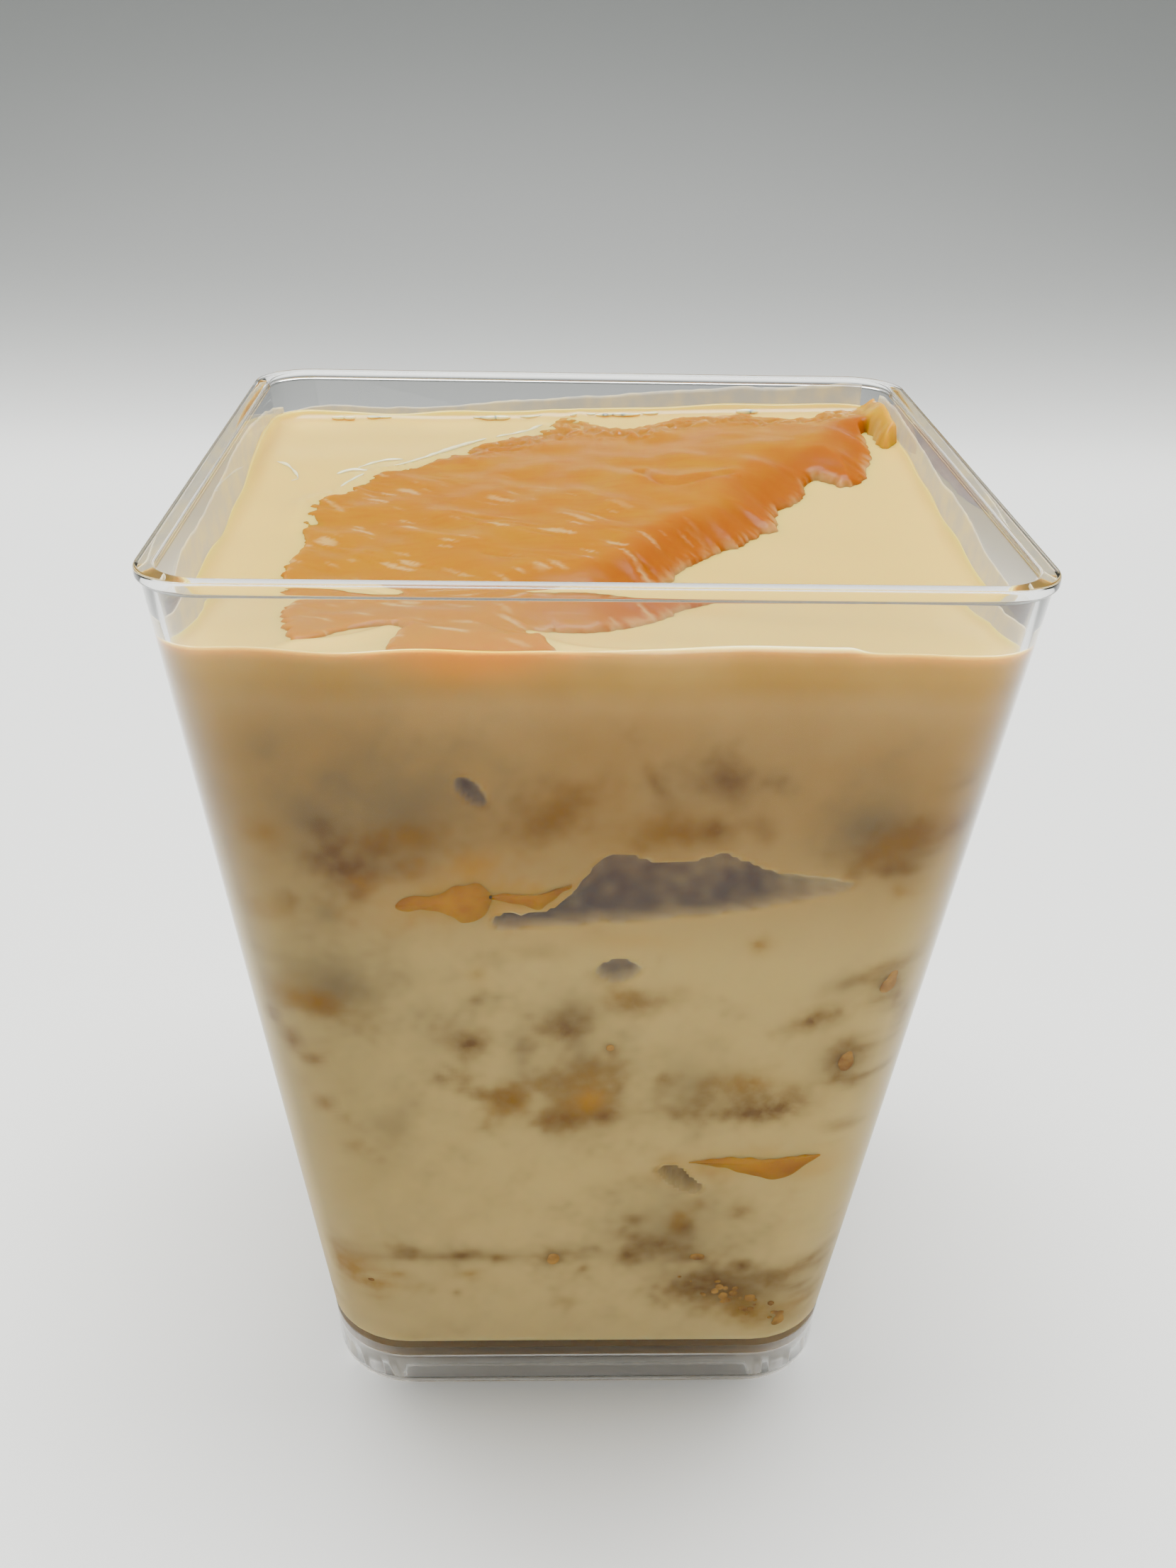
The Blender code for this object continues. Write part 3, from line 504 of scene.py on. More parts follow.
def ring_template(corner_steps, side_steps):
    """The corner centre and outward direction of each point round a square ring.

    The steps of its sides are given for the back, the left, the front and the right.
    """
    centres, outs = [], []
    for corner in range(4):
        start = corner * math.pi / 2
        centre = np.sign([math.cos(start + math.pi / 4), math.sin(start + math.pi / 4)])
        for step in range(corner_steps + 1):
            angle = start + step / corner_steps * math.pi / 2
            centres.append(centre)
            outs.append((math.cos(angle), math.sin(angle)))
        along = np.array((-math.sin(start + math.pi / 2), math.cos(start + math.pi / 2)))
        for step in range(1, side_steps[corner]):
            centres.append(centre + along * 2 * step / side_steps[corner])
            outs.append(outs[-1])
    return np.array(centres), np.array(outs)


def ring_points(template, z, inset):
    """The points of a ring, that far in from the cup's outer face at height z."""
    centres, outs = template
    z = np.broadcast_to(np.asarray(z, float), len(centres))
    half = outer_half(z) - inset
    corner = lerp(FOOT_CORNER_RADIUS, RIM_CORNER_RADIUS, z / CUP_HEIGHT) - inset
    radius = np.maximum(corner, np.minimum(LEAST_RADIUS, LEAST_RADIUS_SHARE * half))
    flat = centres * (half - radius)[:, None] + outs * radius[:, None]
    return np.column_stack((flat, z))


def arc(inset, z, radius, start, end, steps):
    """Points of an arc in the cup's section, about a centre given as inset and height."""
    angles = np.radians(np.linspace(start, end, steps + 1))
    return list(zip(inset + radius * np.cos(angles), z + radius * np.sin(angles)))


def grid_faces(rows, columns, wrap=True):
    """The quads of a grid of points, closed round its rows where wrap is set."""
    row, column = np.meshgrid(np.arange(rows - 1), np.arange(columns - (not wrap)), indexing="ij")
    beside = (column + 1) % columns
    corners = (row * columns + column, row * columns + beside)
    corners += ((row + 1) * columns + beside, (row + 1) * columns + column)
    return np.stack([corner.ravel() for corner in corners], axis=1)


def closed_loft(rings):
    """The points and faces of a closed skin through rings, with a fan across each end."""
    columns = len(rings[0])
    points = np.concatenate(rings)
    first, last = rings[0].mean(0), rings[-1].mean(0)
    faces = grid_faces(len(rings), columns).tolist()
    count = len(points)
    end = count - columns
    for i in range(columns):
        j = (i + 1) % columns
        faces.append((count, j, i))
        faces.append((count + 1, end + i, end + j))
    return np.vstack((points, first, last)), faces


def add_object(name, data):
    """Adds an object to the scene."""
    item = bpy.data.objects.new(name, data)
    bpy.context.scene.collection.objects.link(item)
    return item


def axes_matrix(right, above, back, place):
    """The matrix of a thing at this place, with these as its own directions."""
    matrix = np.eye(4)
    matrix[:3] = np.column_stack((right, above, back, place))
    return Matrix(matrix.tolist())


def make_piece(name, shape, materials, replaced=(), attributes=None, second=None):
    """Makes a smooth mesh, puts it on the frame and hides the frame's parts that it replaces.

    Its shape is its points and faces, and second says which faces take the second material.
    """
    points, faces = shape
    data = bpy.data.meshes.new(name)
    data.from_pydata(np.asarray(points).tolist(), [], [tuple(face) for face in faces])
    for label, values in (attributes or {}).items():
        layer = data.attributes.new(label, "FLOAT", "POINT")
        layer.data.foreach_set("value", np.asarray(values, np.float32))
    data.shade_smooth()
    for material in materials:
        data.materials.append(material)
    if second is not None:
        data.polygons.foreach_set("material_index", np.asarray(second, np.int32))
    item = add_object(name, data)
    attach(item, "root")
    if replaced:
        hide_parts(*replaced)


def add_node(tree, kind, inputs=None, stops=None, **settings):
    """Adds a node with its settings, its inputs set or linked, and a ramp's colours."""
    item = tree.nodes.new("ShaderNode" + kind)
    for label, value in settings.items():
        setattr(item, label, value)
    for key, value in (inputs or {}).items():
        if isinstance(value, bpy.types.NodeSocket):
            tree.links.new(value, item.inputs[key])
        else:
            item.inputs[key].default_value = value
    if stops:
        ramp = item.color_ramp.elements
        ramp[0].color = (*stops[0][1], 1)
        ramp[-1].color = (*stops[-1][1], 1)
        for place, shade in stops[1:-1]:
            ramp.new(place).color = (*shade, 1)
    return item


def blend(tree, share, low, high):
    """Mixes two colours and gives the result's socket."""
    # A Mix node takes its two colours at inputs 6 and 7
    fixed = {6: low, 7: high}
    for key in fixed:
        if not isinstance(fixed[key], bpy.types.NodeSocket):
            fixed[key] = (*fixed[key], 1)
    return add_node(tree, "Mix", {0: share, **fixed}, data_type="RGBA").outputs[2]


def mottled(tree, noise, span, low, high, most=1.0):
    """Mixes two colours by how far the noise lies through its span, up to the most given."""
    share = add_node(tree, "MapRange", {0: noise, 1: span[0], 2: span[1], 4: most})
    return blend(tree, share.outputs[0], low, high)


def new_material(name):
    """An empty material and its node tree."""
    material = bpy.data.materials.new(name)
    material.use_nodes = True
    material.node_tree.nodes.clear()
    return material, material.node_tree


def surfaced(material, values):
    """The material with a surface of these values."""
    shader = add_node(material.node_tree, "BsdfPrincipled", values)
    add_node(material.node_tree, "OutputMaterial", {"Surface": shader.outputs[0]})
    return material


def polystyrene_material(name, roughness):
    """Clear polystyrene: bright sharp reflections and dark bent edges where polished, grey where satin."""
    material, tree = new_material(name)
    shader = add_node(tree, "BsdfPrincipled", {
        "Base Color": (0.985, 0.99, 0.985, 1),
        "Roughness": roughness,
        "IOR": 1.59,
        "Specular Tint": (0.2, 0.2, 0.2, 1),
        "Transmission Weight": 1.0,
    })
    clear = add_node(tree, "BsdfTransparent", {"Color": (0.93, 0.935, 0.935, 1)})
    shadow = add_node(tree, "LightPath").outputs["Is Shadow Ray"]
    mixed = add_node(tree, "MixShader", {0: shadow, 1: shader.outputs[0], 2: clear.outputs[0]})
    add_node(tree, "OutputMaterial", {"Surface": mixed.outputs[0]})
    return material


def attribute(tree, name):
    """The socket of a value stored on the mesh."""
    return add_node(tree, "Attribute", attribute_name=name).outputs["Fac"]


def cream_material(settings, name, gloss, roughness, softness, top=None):
    """Sweetened cream, chilled: soft and milky, wet on top, dull and stained against the wall, with painted
    light and shade by height up its side, painted shade over the front's left third and in the air pockets.
    """
    material, tree = new_material(name)
    place = add_node(tree, "TexCoord").outputs["Object"]
    # The colours by height up the side are painted light and shade: lighter low down, where bounce light from
    # the floor falls, darker and browner towards the surface, in shade
    stops = [
        (0.0, settings.bottom),
        (0.004, settings.lower),
        (0.3, settings.middle),
        (0.62, settings.middle),
        (0.8, settings.upper),
        (0.94, settings.upper),
        (0.964, settings.under_top),
        (0.984, settings.under_top),
        (0.994, settings.contact),
        (1.0, settings.contact),
    ]
    side = add_node(tree, "ValToRGB", {0: attribute(tree, "share")}, stops=stops).outputs[0]
    cloud = add_node(tree, "TexNoise", {"Vector": place, "Scale": 90.0, "Detail": 3.0}).outputs[0]
    side = mottled(tree, cloud, (0.35, 0.75), side, settings.lower, 0.22)
    fine = add_node(tree, "TexNoise", {"Vector": place, "Scale": 900.0, "Detail": 5.0}).outputs[0]
    broken = add_node(tree, "MapRange", {0: fine, 1: 0.36, 2: 0.6, 3: 0.72}).outputs[0]
    for kind in ("grey", "brown", "gold", "mango"):
        amount = attribute(tree, kind)
        if kind in ("brown", "gold"):
            amount = add_node(tree, "Math", {0: amount, 1: broken}, operation="MULTIPLY").outputs[0]
        side = blend(tree, amount, side, getattr(settings, kind))
    # Painted shade inside the air pockets, speckled with brown
    painted_pocket_shade = mottled(tree, fine, (0.35, 0.7), settings.air, settings.brown, 0.3)
    side = blend(tree, attribute(tree, "air"), side, painted_pocket_shade)
    shade = blend(tree, attribute(tree, "side"), top or settings.top, side)
    shade = blend(tree, attribute(tree, "glow"), shade, settings.glow)
    return surfaced(material, {
        "Base Color": shade,
        "Roughness": roughness,
        "IOR": 1.45,
        "Specular IOR Level": gloss,
        "Subsurface Weight": 1.0,
        "Subsurface Radius": (1.0, 0.72, 0.42),
        "Subsurface Scale": softness,
    })


def mango_material(settings, name, gloss, roughness):
    """Ripe mango flesh, cut: glowing, with fine fibres along the fruit, and glints where it is wet."""
    material, tree = new_material(name)
    place = add_node(tree, "TexCoord").outputs["Object"]
    turn = {"Vector": place, "Rotation": (0, 0, FIBRE_TURN), "Scale": (FIBRE_STRETCH, 1, 1)}
    along = add_node(tree, "Mapping", turn).outputs[0]
    fibre = add_node(tree, "TexNoise", {"Vector": along, "Scale": 1500.0, "Detail": 4.0}).outputs[0]
    patch = add_node(tree, "TexNoise", {"Vector": place, "Scale": 170.0, "Detail": 4.0}).outputs[0]
    shade = mottled(tree, patch, (0.4, 0.68), settings.flesh, settings.pale)
    shade = mottled(tree, fibre, (0.45, 0.75), shade, settings.deep, 0.35)
    # deep paints shade on the slope and in the crease; veil is thin cream and also paints glints as pale
    # streaks
    for kind in ("pale", "deep", "flap", "veil"):
        shade = blend(tree, attribute(tree, kind), shade, getattr(settings, kind))
    bump = add_node(tree, "Bump", {"Strength": 0.2, "Distance": 0.1 * MM, "Height": fibre})
    return surfaced(material, {
        "Base Color": shade,
        "Roughness": roughness,
        "IOR": 1.38,
        "Specular IOR Level": gloss,
        "Normal": bump.outputs[0],
        "Subsurface Weight": 1.0,
        "Subsurface Radius": (1.0, 0.42, 0.1),
        "Subsurface Scale": 1.6 * MM,
    })


def strip_material(settings):
    """Mango strips, pressed on the wall: flat, deep yellow, softer at the edges."""
    material, tree = new_material("ripe mango strips, pressed")
    place = add_node(tree, "TexCoord").outputs["Object"]
    patch = add_node(tree, "TexNoise", {"Vector": place, "Scale": 420.0, "Detail": 3.0}).outputs[0]
    return surfaced(material, {
        "Base Color": mottled(tree, patch, (0.4, 0.65), settings.strip, settings.strip_patch),
        "Roughness": 0.35,
        "IOR": 1.38,
        "Specular IOR Level": 0.05,
        "Subsurface Weight": 1.0,
        "Subsurface Radius": (1.0, 0.5, 0.15),
        "Subsurface Scale": 0.8 * MM,
    })


def cracker_material(settings):
    """Graham cracker, baked and soaked: coarse crumb in browns, dark at the baked skin."""
    material, tree = new_material("graham cracker, baked and soaked")
    place = add_node(tree, "TexCoord").outputs["Object"]
    grain = 0.5 / settings.crumb
    crumb = add_node(tree, "TexNoise", {"Vector": place, "Scale": grain, "Detail": 6.0}).outputs[0]
    bump = add_node(tree, "Bump", {"Strength": 0.5, "Distance": 0.2 * MM, "Height": crumb})
    return surfaced(material, {
        "Base Color": mottled(tree, crumb, (0.38, 0.62), settings.dark, settings.light),
        "Roughness": 0.6,
        "IOR": 1.45,
        "Specular IOR Level": 0.1,
        "Normal": bump.outputs[0],
    })


def floor_material(settings):
    """Matt laminate, pale: even and soft, going to grey up the backdrop."""
    material, tree = new_material("matt laminate, pale")
    place = add_node(tree, "TexCoord").outputs["Object"]
    depth = add_node(tree, "SeparateXYZ", {0: place}).outputs["Y"]
    near_end, far_end = FLOOR_TO_BACKDROP
    far = add_node(tree, "MapRange", {0: depth, 1: near_end, 2: far_end}, interpolation_type="SMOOTHSTEP")
    shade = blend(tree, far.outputs[0], settings.floor, settings.backdrop)
    speck = add_node(tree, "TexNoise", {"Vector": place, "Scale": 700.0, "Detail": 2.0}).outputs[0]
    bump = add_node(tree, "Bump", {"Strength": 0.05, "Distance": 0.1 * MM, "Height": speck})
    return surfaced(material, {"Base Color": shade, "Roughness": 0.55, "Normal": bump.outputs[0]})


def cup_section(wall):
    """The cup's section as (inset, height), from under the floor, up outside and down inside.

    Its first FOOT_INSIDE_ROWS points are under the floor and inside the foot.
    """
    lip_out = (BODY_TOP_WIDTH - RIM_WIDTH) / 2
    underside = FLOOR_TOP - FLOOR_THICKNESS
    lip_base = CUP_HEIGHT - LIP_HEIGHT
    edge = EDGE_ROUNDING
    bend = FLOOR_FILLET / 2
    section = arc(wall + bend, underside - bend, bend, 90, 180, 5)
    section += [(wall, edge)]
    section += arc(wall - FOOT_EDGE, FOOT_EDGE, FOOT_EDGE, 0, -90, 4)
    section += arc(FOOT_EDGE, FOOT_EDGE, FOOT_EDGE, -90, -180, 5)
    section += arc(FOOT_RIDGE / 2, FOOT_HEIGHT, 1.5 * FOOT_RIDGE, -130, -230, 6)
    section += [(0, lip_base - edge)]
    section += arc(lip_out + edge, lip_base + edge, edge, -90, -180, 4)
    section += arc(lip_out + edge, CUP_HEIGHT - edge, edge, 180, 90, 4)
    section += arc(wall - edge, CUP_HEIGHT - edge, edge, 90, 0, 4)
    section += arc(wall + FLOOR_FILLET, FLOOR_TOP + FLOOR_FILLET, FLOOR_FILLET, 180, 270, 6)
    return section


def surface_rise(x, y):
    """How far the cream stands above its level: it climbs to the back right corner."""
    back = BACK_RISE * smooth(y, -10.0 * MM, 31.0 * MM)
    return back + CORNER_RISE * smooth(x + y, 12.0 * MM, 58.0 * MM)


def contact_rise(x, y):
    """How far the cream climbs the wall above its surface, point by point round the wall."""
    reach = 30.0 * MM
    rise = CONTACT_RISE + CONTACT_BACK_RISE * smooth(y, 25.0 * MM, reach)
    left = smooth(-x, 26.0 * MM, reach) * smooth(y, 0.0, 18.0 * MM) * (1 - smooth(y, 24.0 * MM, reach))
    return rise + CONTACT_LEFT_RISE * left + 0.12 * MM * ripple(laid_flat(x, y), 6 * MM, 5)


def side_coordinates(points, side):
    """How far across and up points are in the view of one side of the cup."""
    turn = np.array(Matrix.Rotation(-side * math.pi / 2, 3, "Z"))
    local = points @ turn.T
    return local[:, 0], local[:, 2]


def lifted(height_mm):
    """The height where a thing lies that shows at this height through the wall, in mm."""
    return height_mm + WALL_LIFT + WALL_LIFT_SHARE * (LEVEL_MM - height_mm)


def ellipse_distance(across, height, x, z, half_width, half_height, tilt):
    """The distance from an ellipse's middle, as a share of its half sizes, for each point."""
    dx, dz = across - x * MM, height - z * MM
    cos, sin = math.cos(math.radians(tilt)), math.sin(math.radians(tilt))
    along = (dx * cos + dz * sin) / (half_width * MM)
    over = (dz * cos - dx * sin) / (half_height * MM)
    return np.sqrt(along**2 + over**2)


def cracker_pieces(name):
    """Each piece of a cracker layer: its side, or None for the core, its plan and its place."""
    plan = CRACKER_LAYERS[name]
    height, thickness = [value * MM for value in plan["core"]]
    draw = random.Random(name)
    span = (float(outer_half(height)) - bpy.context.scene.mango_cup.wall) * CORE_SPREAD
    pieces = []
    for column in (-1, 1):
        for row in (-1, 1):
            lean = Matrix.Rotation(math.radians(draw.uniform(-CORE_LEAN, CORE_LEAN)), 4, "X")
            turn = Matrix.Rotation(math.radians(draw.uniform(-CORE_TURN, CORE_TURN)), 4, "Z")
            middle = (column * span * CORE_PLACE, row * span * CORE_PLACE, height)
            place = Matrix.Translation(middle) @ turn @ lean
            size = (span * CORE_OVERLAP, span * CORE_OVERLAP, thickness)
            pieces.append((None, size, place, (0, 0, 0), draw.random()))
    for across, level, width, tall, tilt in plan["front"]:
        place = wall_place(0, across * MM, level * MM, tilt, PIECE_DEPTH, height)
        size = (width * MM, PIECE_DEPTH, tall * MM)
        pieces.append((0, size, place, (across * MM, level * MM, tilt), draw.random()))
    for side in (1, 2, 3):
        for count in range(UNSEEN_PER_SIDE):
            level = height + draw.uniform(-UNSEEN_SHIFT, UNSEEN_SHIFT) * thickness
            limit = UNSEEN_REACH * float(outer_half(level))
            share = (count + draw.uniform(UNSEEN_SHIFT, 1 - UNSEEN_SHIFT)) / UNSEEN_PER_SIDE
            across = lerp(-limit, limit, share)
            tilt = draw.uniform(-UNSEEN_TILT, UNSEEN_TILT)
            place = wall_place(side, across, level, tilt, PIECE_DEPTH)
            size = (draw.uniform(*UNSEEN_WIDTH), PIECE_DEPTH, draw.uniform(*UNSEEN_THICKNESS))
            pieces.append((side, size, place, (across, level, tilt), draw.random()))
    return pieces


def wall_place(side, across, height, tilt, depth, core_height=None):
    """Where a piece lies whose end goes to one side's wall, slanting to the core if one is given."""
    reach = float(outer_half(height)) - bpy.context.scene.mango_cup.wall + POKE_THROUGH
    turn = Matrix.Rotation(side * math.pi / 2, 4, "Z")
    shift = Matrix.Translation((across, -reach, height))
    slant = math.atan2(core_height - height, depth) if core_height else 0.0
    inward = Matrix.Rotation(slant, 4, "X") @ Matrix.Translation((0, depth / 2, 0))
    return turn @ shift @ inward @ Matrix.Rotation(math.radians(-tilt), 4, "Y")


def unseen_stains():
    """Stains on the other three sides: a halo, a middle and specks by each piece, and then smears."""
    stains = []
    for name in CRACKER_LAYERS:
        draw = random.Random(name + " stains")
        for side, size, _, (across, level, tilt), _ in cracker_pieces(name):
            if not side:
                continue
            x, z, half, tall = across / MM, level / MM, size[0] / MM / 2, size[2] / MM / 2
            stains.append((side, "grey", x, z + 0.8, half * 1.2, tall * 1.3, tilt, 0.55))
            stains.append((side, "gold", x, z, half * 0.8, tall * 0.6, tilt, 0.75))
            for _ in range(5):
                dx, dz = draw.uniform(-half, half), draw.uniform(-tall, tall) * 0.8
                wide = draw.uniform(0.6, 1.8)
                stains.append((side, "brown", x + dx, z + dz, wide, wide * 0.6, tilt, 0.7))
            for _ in range(4):
                dx, dz = draw.uniform(-2.4, 2.4) * half, draw.uniform(-2, 2) * tall
                wide = draw.uniform(0.3, 0.8)
                stains.append((side, "brown", x + dx, z + dz, wide, wide * 0.8, 0, 0.5))
    for plan in CRACKER_LAYERS.values():
        level = plan["core"][0]
        limit = SMEAR_REACH * float(outer_half(level * MM)) / MM
        for side in (1, 2, 3):
            for kind, wide in SMEARS:
                wide *= draw.uniform(0.7, 1.3)
                x, z = draw.uniform(-limit, limit), level + draw.gauss(0, 3.8)
                tall = wide * draw.uniform(0.4, 0.9)
                stains.append((side, kind, x, z, wide, tall, draw.uniform(-35, 35), draw.uniform(0.3, 0.65)))
    return stains


def stain_amounts(points, facing):
    """How strong each tint is at each point of the cream's sides."""
    amounts = {kind: np.zeros(len(points)) for kind in FRONT_STAINS}
    wobble = 1 + 0.16 * ripple(points, 2.2 * MM, 11) + 0.07 * ripple(points, 0.8 * MM, 12)
    stains = [(0, kind, x, lifted(z), *rest) for kind in FRONT_STAINS for x, z, *rest in FRONT_STAINS[kind]]
    for side, kind, x, z, half_width, half_height, tilt, strength in stains + unseen_stains():
        on_side = facing == side
        across, height = side_coordinates(points[on_side], side)
        away = ellipse_distance(across, height, x, z, half_width, half_height, tilt)
        soft = kind == "grey"
        away = away * wobble[on_side] / (1.3 if soft else 1.15)
        value = min(0.9, strength * 1.2) * np.exp(-(away ** (1.6 if soft else 1.9)))
        left = 1 - amounts[kind][on_side]
        amounts[kind][on_side] = 1 - left * (1 - value)
    return amounts


def cream_piece(wall, settings):
    """The cream's points, faces and stored values."""
    coarse, fine = int(SIDE_SPAN / settings.grid), int(FRONT_SPAN / settings.front_grid)
    template = ring_template(CREAM_CORNER_STEPS, (coarse, coarse, fine, coarse))
    inset = wall - settings.into_wall
    bottom = FLOOR_TOP - settings.into_wall
    fillet = FLOOR_FILLET

    # Underside, then up the wall to the line of contact
    rings = [ring_points(template, bottom, inset + fillet + depth * MM) for depth in UNDERSIDE_DEPTHS]
    bend = arc(inset + fillet, bottom + fillet, fillet, 270, 180, 6)
    rings += [ring_points(template, z, depth) for depth, z in bend]
    wall_ring = ring_points(template, settings.level, inset)
    rise = surface_rise(wall_ring[:, 0], wall_ring[:, 1])
    contact = settings.level + rise + contact_rise(wall_ring[:, 0], wall_ring[:, 1])
    rows = int((settings.level - bottom) / settings.front_grid)
    for row in range(1, rows + 1):
        rings.append(ring_points(template, lerp(bottom + fillet, contact, row / rows), inset))
    side_rings = len(rings)

    # Open surface, from the wall to the middle
    edge = ring_points(template, contact, inset)
    over = contact - settings.level - surface_rise(edge[:, 0], edge[:, 1])
    for depth in SURFACE_DEPTHS:
        ring = ring_points(template, settings.level, inset + depth * MM)
        x, y = ring[:, 0], ring[:, 1]
        ring[:, 2] = settings.level + surface_rise(x, y) + over * np.exp(-(depth - 0.1) / 0.55)
        ring[:, 2] += top_relief(x, y)
        rings.append(ring)
    points, faces = closed_loft(rings)

    # Stored values, which the materials read
    sides = slice(0, side_rings * len(rings[0]))
    on_side = np.zeros(len(points))
    on_side[sides] = 1.0
    angle = np.degrees(np.arctan2(points[:, 0], -points[:, 1]))
    facing = np.round(angle / 90).astype(int) % 4
    facing[on_side == 0] = -1
    amounts = stain_amounts(points, facing)
    amounts["air"] = air_pockets(points, facing)
    across, height = side_coordinates(points, 0)
    lobe = ellipse_distance(across, height, LOBE_MIDDLE / MM, 79.9, LOBE_HALF_WIDTH / MM, 2.6, 0)
    near_front = points[:, 1] < 0.7 * MM - edge[:, 1].max()
    amounts["glow"] = np.where((facing == 0) | near_front, np.exp(-(lobe**3)), 0)
    amounts["side"] = on_side
    amounts["share"] = np.ones(len(points))
    reach = np.tile(contact, side_rings) - FLOOR_TOP
    amounts["share"][sides] = np.clip((points[sides, 2] - FLOOR_TOP) / reach, 0, 1)
    return points, faces, amounts


def top_relief(x, y):
    """Small folds in the open surface: a lip along the slice's back edge and splash marks."""
    points = laid_flat(x, y)
    relief = 0.05 * MM * ripple(points, 7 * MM, 21)
    lip = near(gap_to(points, curve(SLICE_BACK_EDGE[5:18], 50)) - 0.7 * MM, 0.8 * MM)
    relief += 0.35 * MM * lip * smooth(ripple(points, 5 * MM, 22), -1.2, 0.4)
    for path in CREAM_FOLDS:
        relief += 0.45 * MM * near(gap_to(points, curve(path, 40)), 1.1 * MM)
    return relief


def sideways(line):
    """The direction across a line at each of its points."""
    along = np.gradient(line, axis=0)
    return np.column_stack((-along[:, 1], along[:, 0])) / np.linalg.norm(along, axis=1)[:, None]


def bead(path_mm, radius, level):
    """A thin rounded ridge of cream along a path on the surface, with tapered ends."""
    line = curve(path_mm, 36)
    taper = np.sqrt(np.sin(math.pi * np.linspace(0.02, 0.98, len(line))))
    size = radius * (1 + 0.3 * ripple(laid_flat(*line.T), 1.3 * MM, 61)) * taper
    height = level + surface_rise(*line.T) + top_relief(*line.T)
    angles = np.linspace(0, 2 * math.pi, 12, endpoint=False)
    rings = []
    for middle, aside, thick, z in zip(line, sideways(line), size, height):
        ring = middle + aside * thick * np.cos(angles)[:, None]
        rings.append(np.column_stack((ring, z + 0.8 * thick * np.sin(angles))))
    return closed_loft(rings)


def splash_shapes(settings, wall):
    """Thin curls of cream on the surface, and small wet beads along the back wall."""
    shapes = [bead(path, radius * MM, settings.level) for radius, path in CREAM_CURLS]
    draw = random.Random("beads")
    edge = float(outer_half(settings.level)) - wall - 0.3 * MM
    for _ in range(BEAD_COUNT):
        x, half = draw.uniform(-27, 20), draw.uniform(0.3, 1.3)
        y = edge / MM - draw.uniform(0.0, 0.5)
        path = [(x - half, y), (x, y - 0.1), (x + half, y)]
        shapes.append(bead(path, draw.uniform(0.16, 0.3) * MM, settings.level + BEAD_LIFT))
    return shapes


def film_shapes(settings, wall):
    """Thin cream that clings to the wall on three sides, with a streaky upper edge."""
    shapes = []
    for side, line in WALL_FILMS.items():
        across = np.linspace(line[0][0], line[-1][0], 150) * MM
        points = laid_flat(across, np.full(len(across), side * 0.1))
        crest = np.interp(across / MM, *zip(*line)) * MM
        crest += 0.16 * MM * ripple(points, 6.5 * MM, 71) + 0.04 * MM * ripple(points, 1.2 * MM, 72)
        crest = np.minimum(crest, CUP_HEIGHT - FILM_BELOW_RIM)
        grid = []
        for inset in (wall + FILM_THICKNESS, wall - FILM_INTO_WALL):
            for share in np.linspace(0, 1, 12):
                z = lerp(settings.level + FILM_FOOT, crest, share if inset > wall else 1 - share)
                half = outer_half(z) - inset
                grid.append(held_inside(np.column_stack((across, -half, z)), inset))
        points = np.concatenate(grid)
        columns = len(across)
        faces = grid_faces(len(grid), columns, wrap=False).tolist()
        last = (len(grid) - 1) * columns
        faces += [(last + i, last + i + 1, i + 1, i) for i in range(columns - 1)]
        ends = [row * columns for row in range(len(grid))]
        for row in range(len(grid) // 2 - 1):
            low, high = row, len(grid) - 1 - row
            faces.append((ends[low], ends[low + 1], ends[high - 1], ends[high]))
            shift = columns - 1
            faces.append(tuple(ends[k] + shift for k in (low, high, high - 1, low + 1)))
        turn = np.array(Matrix.Rotation(side * math.pi / 2, 3, "Z"))
        shapes.append((points @ turn.T, [face[::-1] for face in faces]))
    return shapes


def film_material(settings):
    """Thin cream, dried on plastic: a milky veil that the wall and the backdrop show through."""
    material, tree = new_material("thin cream, dried on the wall")
    place = add_node(tree, "TexCoord").outputs["Object"]
    cloud = add_node(tree, "TexNoise", {"Vector": place, "Scale": 420.0, "Detail": 3.0}).outputs[0]
    shade = mottled(tree, cloud, (0.4, 0.65), settings.film, settings.splash)
    return surfaced(material, {"Base Color": shade, "Roughness": 0.4, "IOR": 1.45, "Alpha": 0.6})


def gap_to(points, edge):
    """The distance of each point from a line of points, seen from above."""
    nearest = np.full(len(points), 1.0)
    for start, end in zip(edge, edge[1:]):
        along = end - start
        share = np.clip(((points[:, :2] - start) @ along) / (along @ along), 0, 1)
        gap = np.linalg.norm(points[:, :2] - start - share[:, None] * along, axis=1)
        nearest = np.minimum(nearest, gap)
    return nearest


def curve(points_mm, count):
    """A smooth line of points through points given in mm."""
    return spline(points_mm, np.linspace(0, 1, count)) * MM


